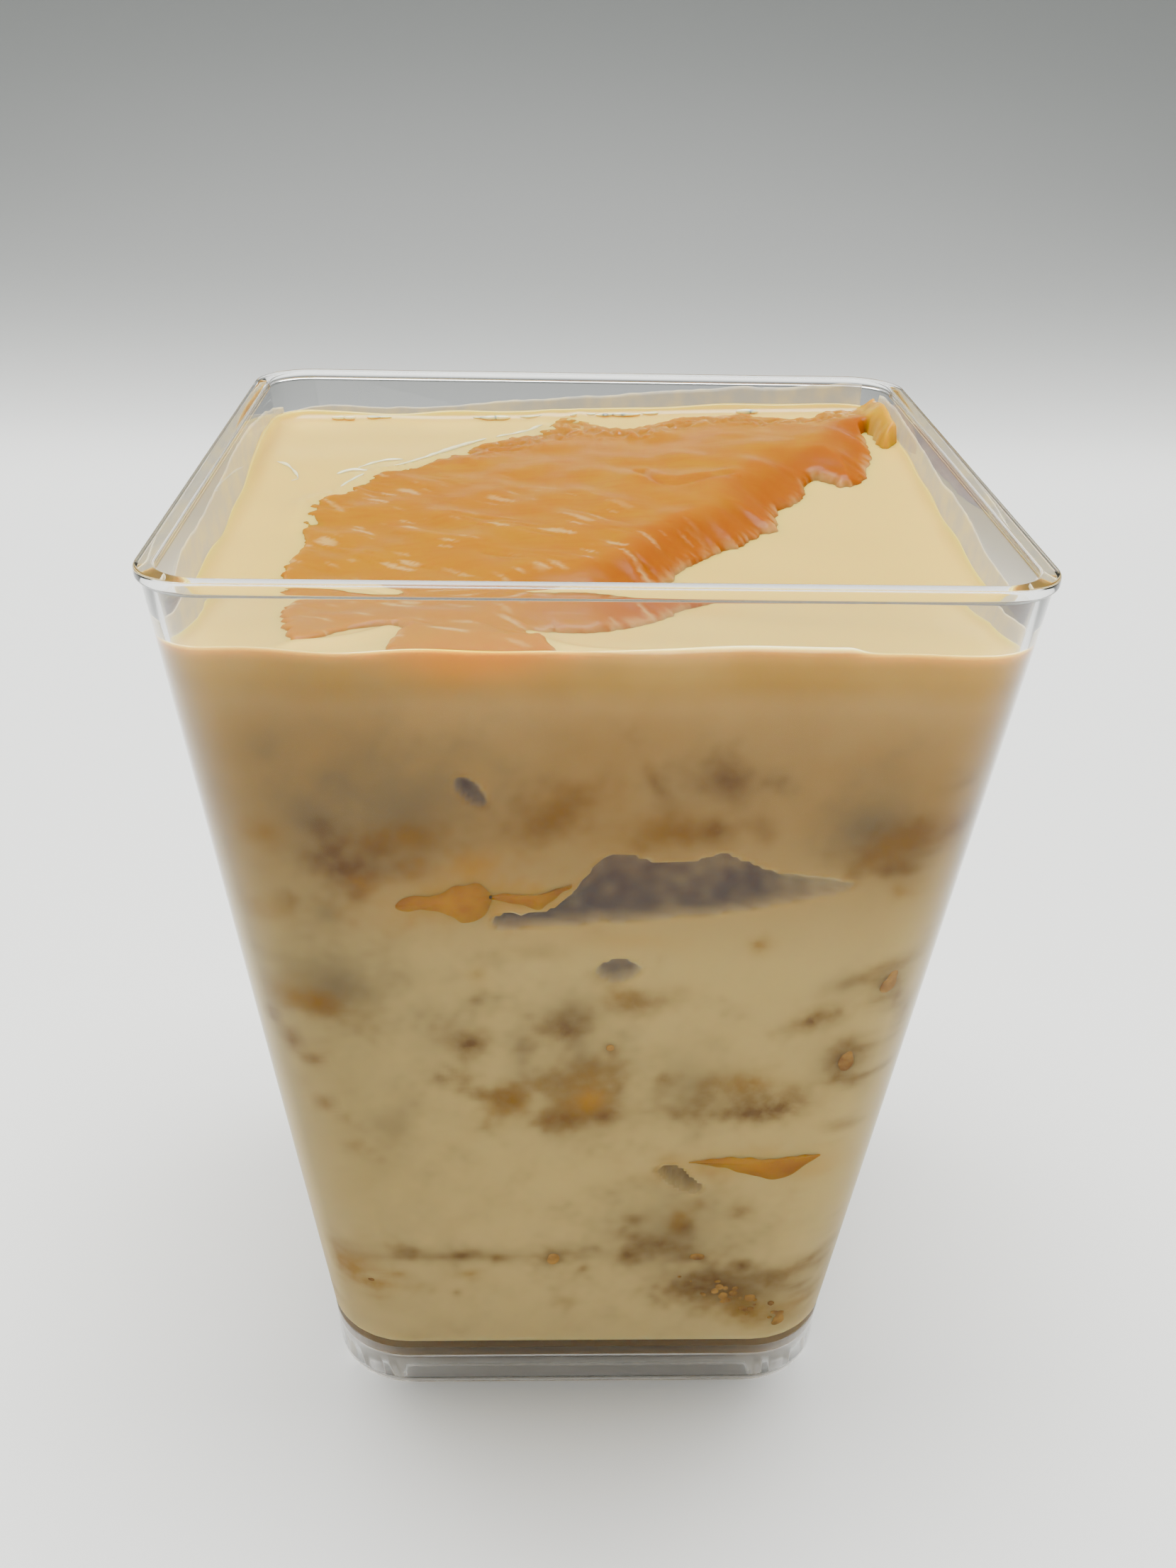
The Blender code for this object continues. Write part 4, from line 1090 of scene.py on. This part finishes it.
def air_pockets(points, facing):
    """Pushes the air pockets into the front face and says how far inside one each point is, as its share of
    painted shade for the pocket's dark inside.
    """
    within = np.zeros(len(points))
    front = facing == 0
    across, height = side_coordinates(points[front], 0)
    flat = np.column_stack((across, height))
    wobble = 0.06 * MM * ripple(points[front], 1.4 * MM, 31)
    push = np.zeros(front.sum())
    shade = np.zeros(front.sum())
    for depth, outline_mm in AIR_POCKETS:
        outline = curve([(x, lifted(z)) for x, z in outline_mm + outline_mm[:1]], 120)
        away = gap_to(flat, outline) * np.where(inside(flat, outline), 1, -1) + wobble
        slope = np.clip(away / (depth * 0.8 * MM), 0, 1)
        deep = depth * MM * (1 - 0.6 * smooth(across, *POCKET_FADE))
        push = np.maximum(push, deep * np.sqrt(1 - (1 - slope) ** 2))
        shade = np.maximum(shade, smooth(away, -0.5 * MM, 0.45 * MM))
    moved = points[front]
    moved[:, 1] += push
    points[front] = moved
    cloud = 0.08 * ripple(points[front], 1.1 * MM, 32) + 0.06 * ripple(points[front], 3.0 * MM, 33)
    within[front] = shade * np.clip(0.9 + cloud - 0.62 * smooth(across, *POCKET_FADE), 0, 1)
    return within


def spline(points, share):
    """Points on the smooth curve through the given points, at shares from 0 to 1 of its length."""
    points = np.asarray(points, float)
    place = np.asarray(share) * (len(points) - 1)
    i = np.minimum(place.astype(int), len(points) - 2)
    t = (place - i)[:, None]
    before, after = points[np.maximum(i - 1, 0)], points[np.minimum(i + 2, len(points) - 1)]
    here, there = points[i], points[i + 1]
    return 0.5 * (
        2 * here
        + (there - before) * t
        + (2 * before - 5 * here + 4 * there - after) * t**2
        + (3 * here - before - 3 * there + after) * t**3
    )


def ragged_edge(points_mm, amount, seed):
    """A line through points given in mm, with torn fibres along it."""
    rough = curve(points_mm, 400)
    steps = np.linalg.norm(np.diff(rough, axis=0), axis=1)
    travel = np.concatenate(([0], np.cumsum(steps)))
    even = np.linspace(0, travel[-1], int(travel[-1] / SLICE_EDGE_STEP))
    line = np.column_stack([np.interp(even, travel, rough[:, k]) for k in (0, 1)])
    flat = laid_flat(*line.T)
    torn = 0.6 * ripple(flat, 1.1 * MM, seed) + 0.5 * ripple(flat, 0.5 * MM, seed + 1)
    ends = smooth(np.minimum(even, even[-1] - even), 0, 2 * MM)
    return line + sideways(line) * (amount * torn * ends)[:, None]


def inside(points, outline):
    """Says which points lie within a closed outline."""
    within = np.zeros(len(points), bool)
    for (x0, y0), (x1, y1) in zip(outline, np.roll(outline, -1, axis=0)):
        if y0 == y1:
            continue
        crossing = (y0 > points[:, 1]) != (y1 > points[:, 1])
        at = x0 + (points[:, 1] - y0) / (y1 - y0) * (x1 - x0)
        within ^= crossing & (points[:, 0] < at)
    return within


def slice_plan(reach):
    """The slice seen from above: its points, with the outline's first, and its triangles."""
    back = ragged_edge(SLICE_BACK_EDGE, 0.28 * MM, 41)
    front = ragged_edge(SLICE_FRONT_EDGE, 0.2 * MM, 43)
    outline = np.clip(np.vstack((back, front)), -reach, reach)
    keep = np.linalg.norm(outline - np.roll(outline, 1, axis=0), axis=1) > 0.1 * MM
    outline = outline[keep]
    low, high = outline.min(0), outline.max(0)
    axes = [np.arange(low[k], high[k], SLICE_SPACING) for k in (0, 1)]
    grid = np.stack(np.meshgrid(*axes, indexing="ij"), -1).reshape(-1, 2)
    draw = np.random.default_rng(44)
    grid += draw.uniform(-0.2, 0.2, grid.shape) * SLICE_SPACING
    grid = grid[inside(grid, outline)]
    closed = np.vstack((outline, outline[:1]))
    grid = grid[gap_to(grid, closed) > 0.2 * MM]
    points = np.vstack((outline, grid))
    count = len(outline)
    edges = [(i, (i + 1) % count) for i in range(count)]
    flat = [Vector(point) for point in (points / MM).tolist()]
    made = delaunay_2d_cdt(flat, edges, [list(range(count))], 1, 1e-5)
    return np.array([tuple(point) for point in made[0]]) * MM, [list(face) for face in made[2]], closed


def slice_heights(points, closed, reach, cream, settings):
    """The slice's upper and lower heights at each point, and its stored values.

    Along runs from the front left end to the back right, and a gap is the distance from an edge.
    """
    x, y = points[:, 0], points[:, 1]
    flat = laid_flat(x, y)
    base = cream.level + surface_rise(x, y)
    edge_gap = gap_to(points, closed)
    back_gap = gap_to(points, curve(SLICE_BACK_EDGE, 90))
    front_gap = gap_to(points, curve(SLICE_FRONT_EDGE[6:32], 90))
    along = (x + y) / math.sqrt(2)

    # The body rises from the back edge to the ridge and falls in a slope at the front edge
    ridge = settings.ridge * smooth(along, -35 * MM, -8 * MM) - 0.8 * MM * smooth(along, 6 * MM, 40 * MM)
    climb = smooth(back_gap / (back_gap + front_gap), 0.0, 0.8)
    slope = 1 - smooth(front_gap, 0.0, 5.0 * MM)
    front_side = smooth(along, -26 * MM, -14 * MM) * (1 - smooth(front_gap, 0.0, 3.0 * MM))
    top = base + lerp(0.35, 0.16, front_side) * MM + ridge * climb * (1 - 0.8 * slope)

    # Crest, crease, fibres across and down it, the wet band and flecks
    crest = gap_to(points, curve(SLICE_CREST, 40))
    top += 0.12 * MM * near(crest, 1.4 * MM)
    crease = gap_to(points, curve(SLICE_CREASE, 30))
    top -= 0.22 * MM * near(crease, 0.6 * MM)
    top += 0.1 * MM * near(crease - 1.2 * MM, 0.7 * MM) * (y > 5 * MM)
    across = laid_flat((x + y) * 0.72, (x - y) * 0.16)
    left_part = 1 - smooth(along, -12 * MM, 6 * MM)
    down = laid_flat(x * 0.62 + y * 0.78, (x * 0.78 - y * 0.62) * 0.2)
    wet_band = near(back_gap - 2.4 * MM, 1.8 * MM) * smooth(along, 0, 8 * MM)
    flecks = smooth(ripple(across, 1.2 * MM, 51), 0.6, 1.0) * left_part
    for strength, field, size, seed in (
        (lerp(0.02, 0.06, left_part), across, 1.5, 45),
        (0.1, flat, 3.4, 46),
        (0.03 * slope, down, 0.9, 47),
        (0.13 * wet_band, flat, 0.6, 48),
        (0.05 * flecks, down, 0.5, 52),
    ):
        top += strength * MM * ripple(field, size * MM, seed)

    # Flap at the back right, lobe at the front wall and rounded edge
    flap = smooth(x, 28.5 * MM, 29.0 * MM) * smooth(y, 16 * MM, 18 * MM)
    top += flap * lerp(0.2 * MM, 1.6 * MM, smooth(x, 28.4 * MM, 31 * MM))
    near_wall = smooth(-y, reach - 4.5 * MM, reach)
    climbing = 0.62 * MM * np.exp(-(reach + y) / (0.55 * MM))
    top = lerp(top, base + 0.12 * MM, near_wall) + climbing
    roll = np.clip(edge_gap / (lerp(0.75, 1.3, front_side) * MM), 0, 1)
    top -= (1 - np.sqrt(1 - (1 - roll) ** 2)) * (top - base + 0.25 * MM)
    lobe = np.sqrt(np.clip(1 - ((x - LOBE_MIDDLE) / LOBE_HALF_WIDTH) ** 2, 0, 1))
    rim = lerp(SLICE_RIM_THICKNESS, 0.3 * MM + 1.5 * MM * lobe, near_wall)
    low = np.minimum(top, base) - lerp(rim, SLICE_THICKNESS, np.sqrt(smooth(edge_gap, 0, 6 * MM)))

    # Deep colour as painted shade on the slope, which faces away from the light, and in the crease, a little
    # deeper near the wall; pale at the thin ends; a veil of cream; and pale streaks that paint glints
    noise = 0.5 * ripple(flat, 2.4 * MM, 49)
    deep = (1 - smooth(front_gap + noise * MM, 2.0 * MM, 6.5 * MM)) * smooth(along, -20 * MM, -10 * MM)
    # Painted shade in the crease
    crease_shade = smooth(ripple(flat, 2.0 * MM, 53), -0.8, 0.5) * near(crease, 1.3 * MM)
    deep = np.maximum(deep * 0.9, 0.5 * crease_shade)
    deep = np.maximum(deep, 0.3 * near_wall)
    pale = 0.7 * (1 - smooth(along, -30 * MM, -6 * MM)) * (1 - near_wall)
    pale = np.maximum(pale, 0.8 * near(back_gap, 3.0 * MM) * smooth(along, 4 * MM, 14 * MM))
    veil = (1 - smooth(edge_gap, 0.0, 0.8 * MM)) * smooth(noise, -0.3, 0.6) * smooth(climb, 0.2, 0.8) * 0.4
    fibres = smooth(ripple(down, 0.7 * MM, 50), -0.9, 0.9)
    feather = (1 - smooth(front_gap, 0.0, 1.3 * MM)) * fibres * smooth(along, -26 * MM, -12 * MM)
    # Painted glints: pale streaks on the left part, in the veil's cream colour, that stand in for small
    # highlights
    painted_glints = smooth(ripple(across, 0.6 * MM, 54), 1.0, 1.8) * left_part * (1 - near_wall)
    veil = np.maximum(veil, np.maximum(0.35 * feather, 0.34 * painted_glints))
    deep = deep * (1 - flap)
    return top, low, {"deep": deep, "pale": pale, "veil": veil, "flap": flap, "wet": wet_band}


def slice_piece(wall, cream, settings):
    """The large slice's points, faces and stored values."""
    inset = wall - SLICE_INTO_WALL
    reach = float(outer_half(cream.level)) - inset
    points, triangles, closed = slice_plan(reach)
    top, low, values = slice_heights(points, closed, reach, cream, settings)
    upper, lower = [held_inside(np.column_stack((points, level)), inset) for level in (top, low)]
    count = len(points)
    sides = {}
    faces = []
    for triangle in triangles:
        for pair in zip(triangle, triangle[1:] + triangle[:1]):
            if sides.pop(pair[::-1], None) is None:
                sides[pair] = True
        faces.append(triangle)
        faces.append([corner + count for corner in triangle[::-1]])
    for i, j in sides:
        faces.append((j, i, i + count, j + count))
    both = {name: np.concatenate((value, value)) for name, value in values.items()}
    return np.vstack((upper, lower)), faces, both


def rounded_block(size, place, seed, inset, steps=9, squareness=6.0, lump=0.35 * MM, grain=0.16 * MM):
    """A lumpy block with rounded edges, in place and held that far in from the cup's outer face."""
    axis = np.linspace(-1, 1, steps + 1)
    first, second = [grid.ravel() for grid in np.meshgrid(axis, axis, indexing="ij")]
    points, faces = [], []
    quads = grid_faces(steps + 1, steps + 1, wrap=False)
    for k in range(3):
        for sign in (-1, 1):
            face = np.empty((len(first), 3))
            face[:, k] = sign
            face[:, (k + 1) % 3] = first
            face[:, (k + 2) % 3] = second
            faces.append((quads[:, ::-1] if sign > 0 else quads) + len(points) * len(first))
            points.append(face)
    points = np.concatenate(points)
    keys = {}
    rows = np.round(points * 1e4).astype(int)
    index = np.array([keys.setdefault(tuple(row), len(keys)) for row in rows])
    unique = np.array(list(keys), float) / 1e4
    spread = (np.abs(unique) ** squareness).sum(1) ** (1 / squareness)
    unique = unique / spread[:, None] * np.asarray(size) / 2
    local = np.array(place.to_3x3())
    world = unique @ local.T + np.array(place.translation)
    outward = unique / np.linalg.norm(unique, axis=1)[:, None] @ local.T
    seed = int(seed * 1e6)
    rough = lump * ripple(world, 2.6 * MM, seed) + grain * ripple(world, 0.9 * MM, seed + 1)
    return held_inside(world + outward * rough[:, None], inset), index[np.concatenate(faces)]


def held_inside(points, inset):
    """Presses points in until each lies that far in from the cup's outer face."""
    limit = outer_half(points[:, 2]) - inset
    points[:, 0] = np.clip(points[:, 0], -limit, limit)
    points[:, 1] = np.clip(points[:, 1], -limit, limit)
    corner = lerp(FOOT_CORNER_RADIUS, RIM_CORNER_RADIUS, points[:, 2] / CUP_HEIGHT) - inset
    centre = limit - corner
    over = np.abs(points[:, :2]) - centre[:, None]
    in_corner = (over > 0).all(axis=1)
    gap = np.linalg.norm(over, axis=1)
    pull = np.where(in_corner & (gap > corner), corner / gap, 1.0)[:, None]
    signs = np.sign(points[:, :2])
    points[:, :2] = np.where(in_corner[:, None], signs * (centre[:, None] + over * pull), points[:, :2])
    return points


def joined(shapes):
    """Puts shapes together as one list of points and one of faces."""
    points = np.concatenate([shape[0] for shape in shapes])
    offset = 0
    faces = []
    for shape in shapes:
        faces += [[corner + offset for corner in face] for face in shape[1]]
        offset += len(shape[0])
    return points, faces


def wall_strip(profile, wall, seed):
    """A strip of mango with this outline on the front wall, which thins out inside the cream."""
    profile = np.array([(x, lifted(top), lifted(low)) for x, top, low in profile]) * MM
    share = np.linspace(0, 1, 60)
    top = spline(profile[:, :2], share)
    low = spline(profile[:, [0, 2]], share)
    outline = np.vstack((top, low[::-1]))
    outline[:, 1] += 0.12 * MM * ripple(laid_flat(*outline.T), 1.1 * MM, seed + 7)
    middle = outline.mean(0)
    rings = []
    for depth in np.linspace(0, 1, 14):
        size = math.sqrt(max(0.0, 1 - depth**3)) * 0.98 + 0.02
        flat = middle + (outline - middle) * (size, lerp(1, size, 0.5))
        face = -(outer_half(flat[:, 1]) - wall + STRIP_INTO_WALL)
        rings.append(np.column_stack((flat[:, 0], face + depth * STRIP_DEPTH, flat[:, 1])))
    points, faces = closed_loft(rings)
    inner = smooth(points[:, 1], -30 * MM, -26 * MM)
    points[:, 2] += inner * 0.2 * MM * ripple(points, 3 * MM, seed)
    return points, faces


def mango_layer_shapes(name, wall):
    """The strips of one mango layer: four in the middle, those at the front and one a side."""
    plan = MANGO_LAYERS[name]
    height = plan["core"] * MM
    draw = random.Random(name)
    shapes = []
    inset = wall - STRIP_INTO_WALL
    reach = float(outer_half(height)) * MIDDLE_STRIP_PLACE
    width, depth = [reach * share for share in MIDDLE_STRIP_SIZE]
    for quarter in range(4):
        angle = (quarter + 0.5) * math.pi / 2
        level = height + (quarter - 1.5) * STRIP_LEVEL_STEP
        middle = Matrix.Translation((reach * math.cos(angle), reach * math.sin(angle), level))
        turn = Matrix.Rotation(math.radians(draw.uniform(-STRIP_TURN, STRIP_TURN)), 4, "Z")
        size = (width, depth, STRIP_THICKNESS)
        place = middle @ turn
        shapes.append(rounded_block(size, place, draw.random(), inset, squareness=3, lump=0.15 * MM))
    for side in (1, 2, 3):
        across = draw.uniform(-STRIP_SHIFT, STRIP_SHIFT) * float(outer_half(height))
        level = height + (side - 2) * STRIP_LEVEL_STEP / 2
        tilt = draw.uniform(-STRIP_TILT, STRIP_TILT)
        place = wall_place(side, across, level, tilt, STRIP_DEPTH)
        size = (STRIP_WIDTH, STRIP_DEPTH, STRIP_THICKNESS)
        shapes.append(rounded_block(size, place, draw.random(), inset, 16, squareness=3, lump=0.42 * MM))
    return shapes + [wall_strip(profile, wall, 51 + i) for i, profile in enumerate(plan["front"])]


def crumb_shapes(wall):
    """Crumbs pressed on the wall: those shown at the front, and like ones on the other sides."""
    draw = random.Random("crumbs")
    crumbs = [(0, x, lifted(z), half_width, tall, tilt) for x, z, half_width, tall, tilt in FRONT_CRUMBS]
    for _ in range(CRUMB_HEAP_COUNT):
        share = draw.random()
        x, z = [lerp(start, end, share) + draw.gauss(0, 0.8) for start, end in zip(*CRUMB_HEAP)]
        half = draw.uniform(0.2, 0.48)
        place = (min(x, CRUMB_HEAP_END), lifted(z))
        crumbs.append((0, *place, half, half * draw.uniform(0.6, 1.0), draw.uniform(-60, 60)))
    for name in CRACKER_LAYERS:
        for side, size, _, (across, level, _), _ in cracker_pieces(name):
            for _ in range(3 if side else 0):
                x = (across + draw.uniform(-0.7, 0.7) * size[0]) / MM
                z = (level + draw.uniform(-0.8, 0.8) * size[2]) / MM
                half = draw.uniform(0.3, 0.8)
                crumbs.append((side, x, z, half, half * draw.uniform(0.6, 1.2), draw.uniform(-40, 40)))
    shapes = []
    for side, x, z, half_width, tall, tilt in crumbs:
        reach = float(outer_half(z * MM)) - wall - CRUMB_INSET
        turn = Matrix.Rotation(side * math.pi / 2, 4, "Z")
        place = turn @ Matrix.Translation((x * MM, -reach, z * MM))
        place = place @ Matrix.Rotation(math.radians(-tilt), 4, "Y")
        size = (half_width * 2 * MM, CRUMB_DEPTH, tall * 2 * MM)
        inset = wall - CRUMB_INTO_WALL
        shapes.append(rounded_block(
            size, place, draw.random(), inset, steps=8, squareness=2.3, lump=0.16 * MM, grain=0.07 * MM
        ))
    return shapes


def stage_points():
    """The floor, curving up into a backdrop: points of a sheet, front to back."""
    profile = [(-0.9, 0.0), (-0.3, 0.0), (0.0, 0.0), (0.15, 0.0)]
    for step in range(25):
        angle = step / 24 * math.pi / 2
        profile.append((STAGE_DEPTH + STAGE_BEND * math.sin(angle), STAGE_BEND * (1 - math.cos(angle))))
    profile.append((STAGE_DEPTH + STAGE_BEND, BACKDROP_HEIGHT))
    sides = np.linspace(-1.4, 1.4, 9)
    return np.array([(x, y, z) for y, z in profile for x in sides]), len(profile), len(sides)


def add_light(name, place, target, size, power, shade):
    """A rectangular soft light that faces the target."""
    data = bpy.data.lights.new(name, "AREA")
    data.shape = "RECTANGLE"
    data.size, data.size_y = size
    data.energy = power
    data.color = shade
    back = np.array(place) - np.array(target)
    back = back / np.linalg.norm(back)
    side = np.cross((0.0, 1.0, 0.001), back)
    side = side / np.linalg.norm(side)
    add_object(name, data).matrix_world = axes_matrix(side, np.cross(back, side), back, place)


class MANGO_OT_cup(Operator):
    """Makes the clear cup"""

    bl_idname = "mango_float.cup"
    bl_label = "Cup"

    def execute(self, context):
        settings = context.scene.mango_cup
        template = ring_template(settings.corner_steps, (4, 4, 4, 4))
        rings = [ring_points(template, z, inset) for inset, z in cup_section(settings.wall)]
        points, faces = closed_loft(rings)
        foot = FOOT_INSIDE_ROWS * len(rings[0])
        satin = [min(face) < foot and len(points) - 1 not in face for face in faces]
        materials = (
            polystyrene_material("clear polystyrene, polished mould", 0.02),
            polystyrene_material("clear polystyrene, satin mould", 0.35),
        )
        make_piece("clear_cup", (points, faces), materials, ["cup"], second=satin)
        return {"FINISHED"}


class MANGO_OT_cream(Operator):
    """Makes the cream with its stains and air pockets"""

    bl_idname = "mango_float.cream"
    bl_label = "Cream"

    def execute(self, context):
        settings = context.scene.mango_cream
        wall = context.scene.mango_cup.wall
        points, faces, amounts = cream_piece(wall, settings)
        side = amounts["side"]
        pressed = side[[face[0] for face in faces]] * side[[face[2] for face in faces]]
        materials = (
            cream_material(settings, "sweetened cream, chilled and wet", 0.5, 0.2, 2.2 * MM),
            cream_material(settings, "sweetened cream, pressed on the wall", 0.0, 0.3, 2.2 * MM),
        )
        make_piece("cream_fill", (points, faces), materials, ["cream"], amounts, pressed)
        # Curls and beads take the near-white splash colour, partly a painted highlight
        thin = cream_material(settings, "sweetened cream, thin and wet", 0.8, 0.07, 0.4 * MM, settings.splash)
        make_piece("cream_splashes", joined(splash_shapes(settings, wall)), [thin])
        make_piece("cream_film", joined(film_shapes(settings, wall)), [film_material(settings)])
        return {"FINISHED"}


class MANGO_OT_slice(Operator):
    """Makes the large mango slice on top"""

    bl_idname = "mango_float.slice"
    bl_label = "Mango slice"

    def execute(self, context):
        scene = context.scene
        settings = scene.mango_flesh
        points, faces, values = slice_piece(scene.mango_cup.wall, scene.mango_cream, settings)
        wet = values.pop("wet")[[face[0] for face in faces]] > WET_LEAST
        materials = (
            mango_material(settings, "ripe mango flesh, cut and drained", 0.12, 0.24),
            mango_material(settings, "ripe mango flesh, cut and wet", 0.32, 0.06),
        )
        make_piece("top_slice", (points, faces), materials, ["mango_slice"], values, wet)
        return {"FINISHED"}


class MANGO_OT_mango_layers(Operator):
    """Makes the two layers of mango strips"""

    bl_idname = "mango_float.mango_layers"
    bl_label = "Mango layers"

    def execute(self, context):
        material = strip_material(context.scene.mango_flesh)
        for name in MANGO_LAYERS:
            shape = joined(mango_layer_shapes(name, context.scene.mango_cup.wall))
            make_piece(name.replace("layer", "strips"), shape, [material], [name])
        return {"FINISHED"}


class MANGO_OT_cracker_layers(Operator):
    """Makes the three layers of soaked cracker, and the crumbs at the wall"""

    bl_idname = "mango_float.cracker_layers"
    bl_label = "Cracker layers"

    def execute(self, context):
        wall = context.scene.mango_cup.wall
        material = cracker_material(context.scene.mango_cracker)
        for name in CRACKER_LAYERS:
            shapes = []
            for _, size, place, _, seed in cracker_pieces(name):
                shapes.append(rounded_block(size, place, seed, wall + CRACKER_INSET, steps=12))
            label = name.replace("layer", "pieces")
            make_piece(label, joined(shapes), [material], [name])
        make_piece("graham_crumbs", joined(crumb_shapes(wall)), [material])
        return {"FINISHED"}


class MANGO_OT_stage(Operator):
    """Makes the floor, the lights and the camera"""

    bl_idname = "mango_float.stage"
    bl_label = "Stage"

    def execute(self, context):
        settings = context.scene.mango_stage
        points, rows, columns = stage_points()
        data = bpy.data.meshes.new("floor_sweep")
        data.from_pydata(points.tolist(), [], grid_faces(rows, columns, wrap=False)[:, ::-1].tolist())
        data.shade_smooth()
        data.materials.append(floor_material(settings))
        floor = add_object("floor_sweep", data)
        add_light("overhead", (0.0, 0.30, 1.2), (0, 0, 0.04), (1.2, 0.9), settings.overhead, (1, 0.99, 0.97))
        add_light("front", (-0.25, -0.9, 0.6), (0, 0, 0.05), (0.5, 0.5), settings.front, (1, 0.98, 0.95))
        world = bpy.data.worlds.new("soft room")
        world.use_nodes = True
        sky = world.node_tree.nodes["Background"]
        sky.inputs["Color"].default_value = (0.96, 0.98, 0.96, 1)
        sky.inputs["Strength"].default_value = 0.4
        context.scene.world = world
        self.add_camera(context.scene)
        return {"FINISHED"}

    def add_camera(self, scene):
        """Puts the camera where the photographer's was."""
        sin_yaw, cos_yaw = math.sin(CAMERA_YAW), math.cos(CAMERA_YAW)
        sin_pitch, cos_pitch = math.sin(CAMERA_PITCH), math.cos(CAMERA_PITCH)
        forward = np.array((sin_yaw * cos_pitch, cos_yaw * cos_pitch, -sin_pitch))
        level = np.array((cos_yaw, -sin_yaw, 0))
        upright = np.cross(level, forward)
        right = math.cos(CAMERA_ROLL) * level + math.sin(CAMERA_ROLL) * upright
        above = math.cos(CAMERA_ROLL) * upright - math.sin(CAMERA_ROLL) * level
        data = bpy.data.cameras.new("camera")
        data.sensor_fit = "VERTICAL"
        data.sensor_height = SENSOR_HEIGHT
        data.lens = CAMERA_LENS
        data.clip_start = MM
        item = add_object("camera", data)
        item.matrix_world = axes_matrix(right, above, -forward, CAMERA_PLACE)
        scene.camera = item


PIECES = (
    MANGO_OT_cup,
    MANGO_OT_cream,
    MANGO_OT_slice,
    MANGO_OT_mango_layers,
    MANGO_OT_cracker_layers,
    MANGO_OT_stage,
)
SETTINGS = {
    "mango_cup": CupSettings,
    "mango_cream": CreamSettings,
    "mango_flesh": MangoSettings,
    "mango_cracker": CrackerSettings,
    "mango_stage": StageSettings,
}


class MANGO_PT_panel(Panel):
    """Lists the settings and the operators of the mango float"""

    bl_idname = "MANGO_PT_panel"
    bl_label = "Mango float"
    bl_space_type = "VIEW_3D"
    bl_region_type = "UI"
    bl_category = "Mango float"

    def draw(self, context):
        for label, group in SETTINGS.items():
            box = self.layout.box()
            box.label(text=group.__doc__)
            for key in group.__annotations__:
                box.prop(getattr(context.scene, label), key)
        for piece in PIECES:
            self.layout.operator(piece.bl_idname)


def register():
    """Adds the settings, the operators and the panel."""
    for group in SETTINGS.values():
        bpy.utils.register_class(group)
    for label, group in SETTINGS.items():
        setattr(bpy.types.Scene, label, PointerProperty(type=group))
    for piece in PIECES:
        bpy.utils.register_class(piece)
    bpy.utils.register_class(MANGO_PT_panel)


def unregister():
    """Takes the panel, the operators and the settings away again."""
    bpy.utils.unregister_class(MANGO_PT_panel)
    for piece in reversed(PIECES):
        bpy.utils.unregister_class(piece)
    for label, group in SETTINGS.items():
        delattr(bpy.types.Scene, label)
        bpy.utils.unregister_class(group)


def main():
    """Builds the whole mango float."""
    register()
    bpy.ops.mango_float.cup()
    bpy.ops.mango_float.cream()
    bpy.ops.mango_float.slice()
    bpy.ops.mango_float.mango_layers()
    bpy.ops.mango_float.cracker_layers()
    bpy.ops.mango_float.stage()


if __name__ == "__main__":
    main()
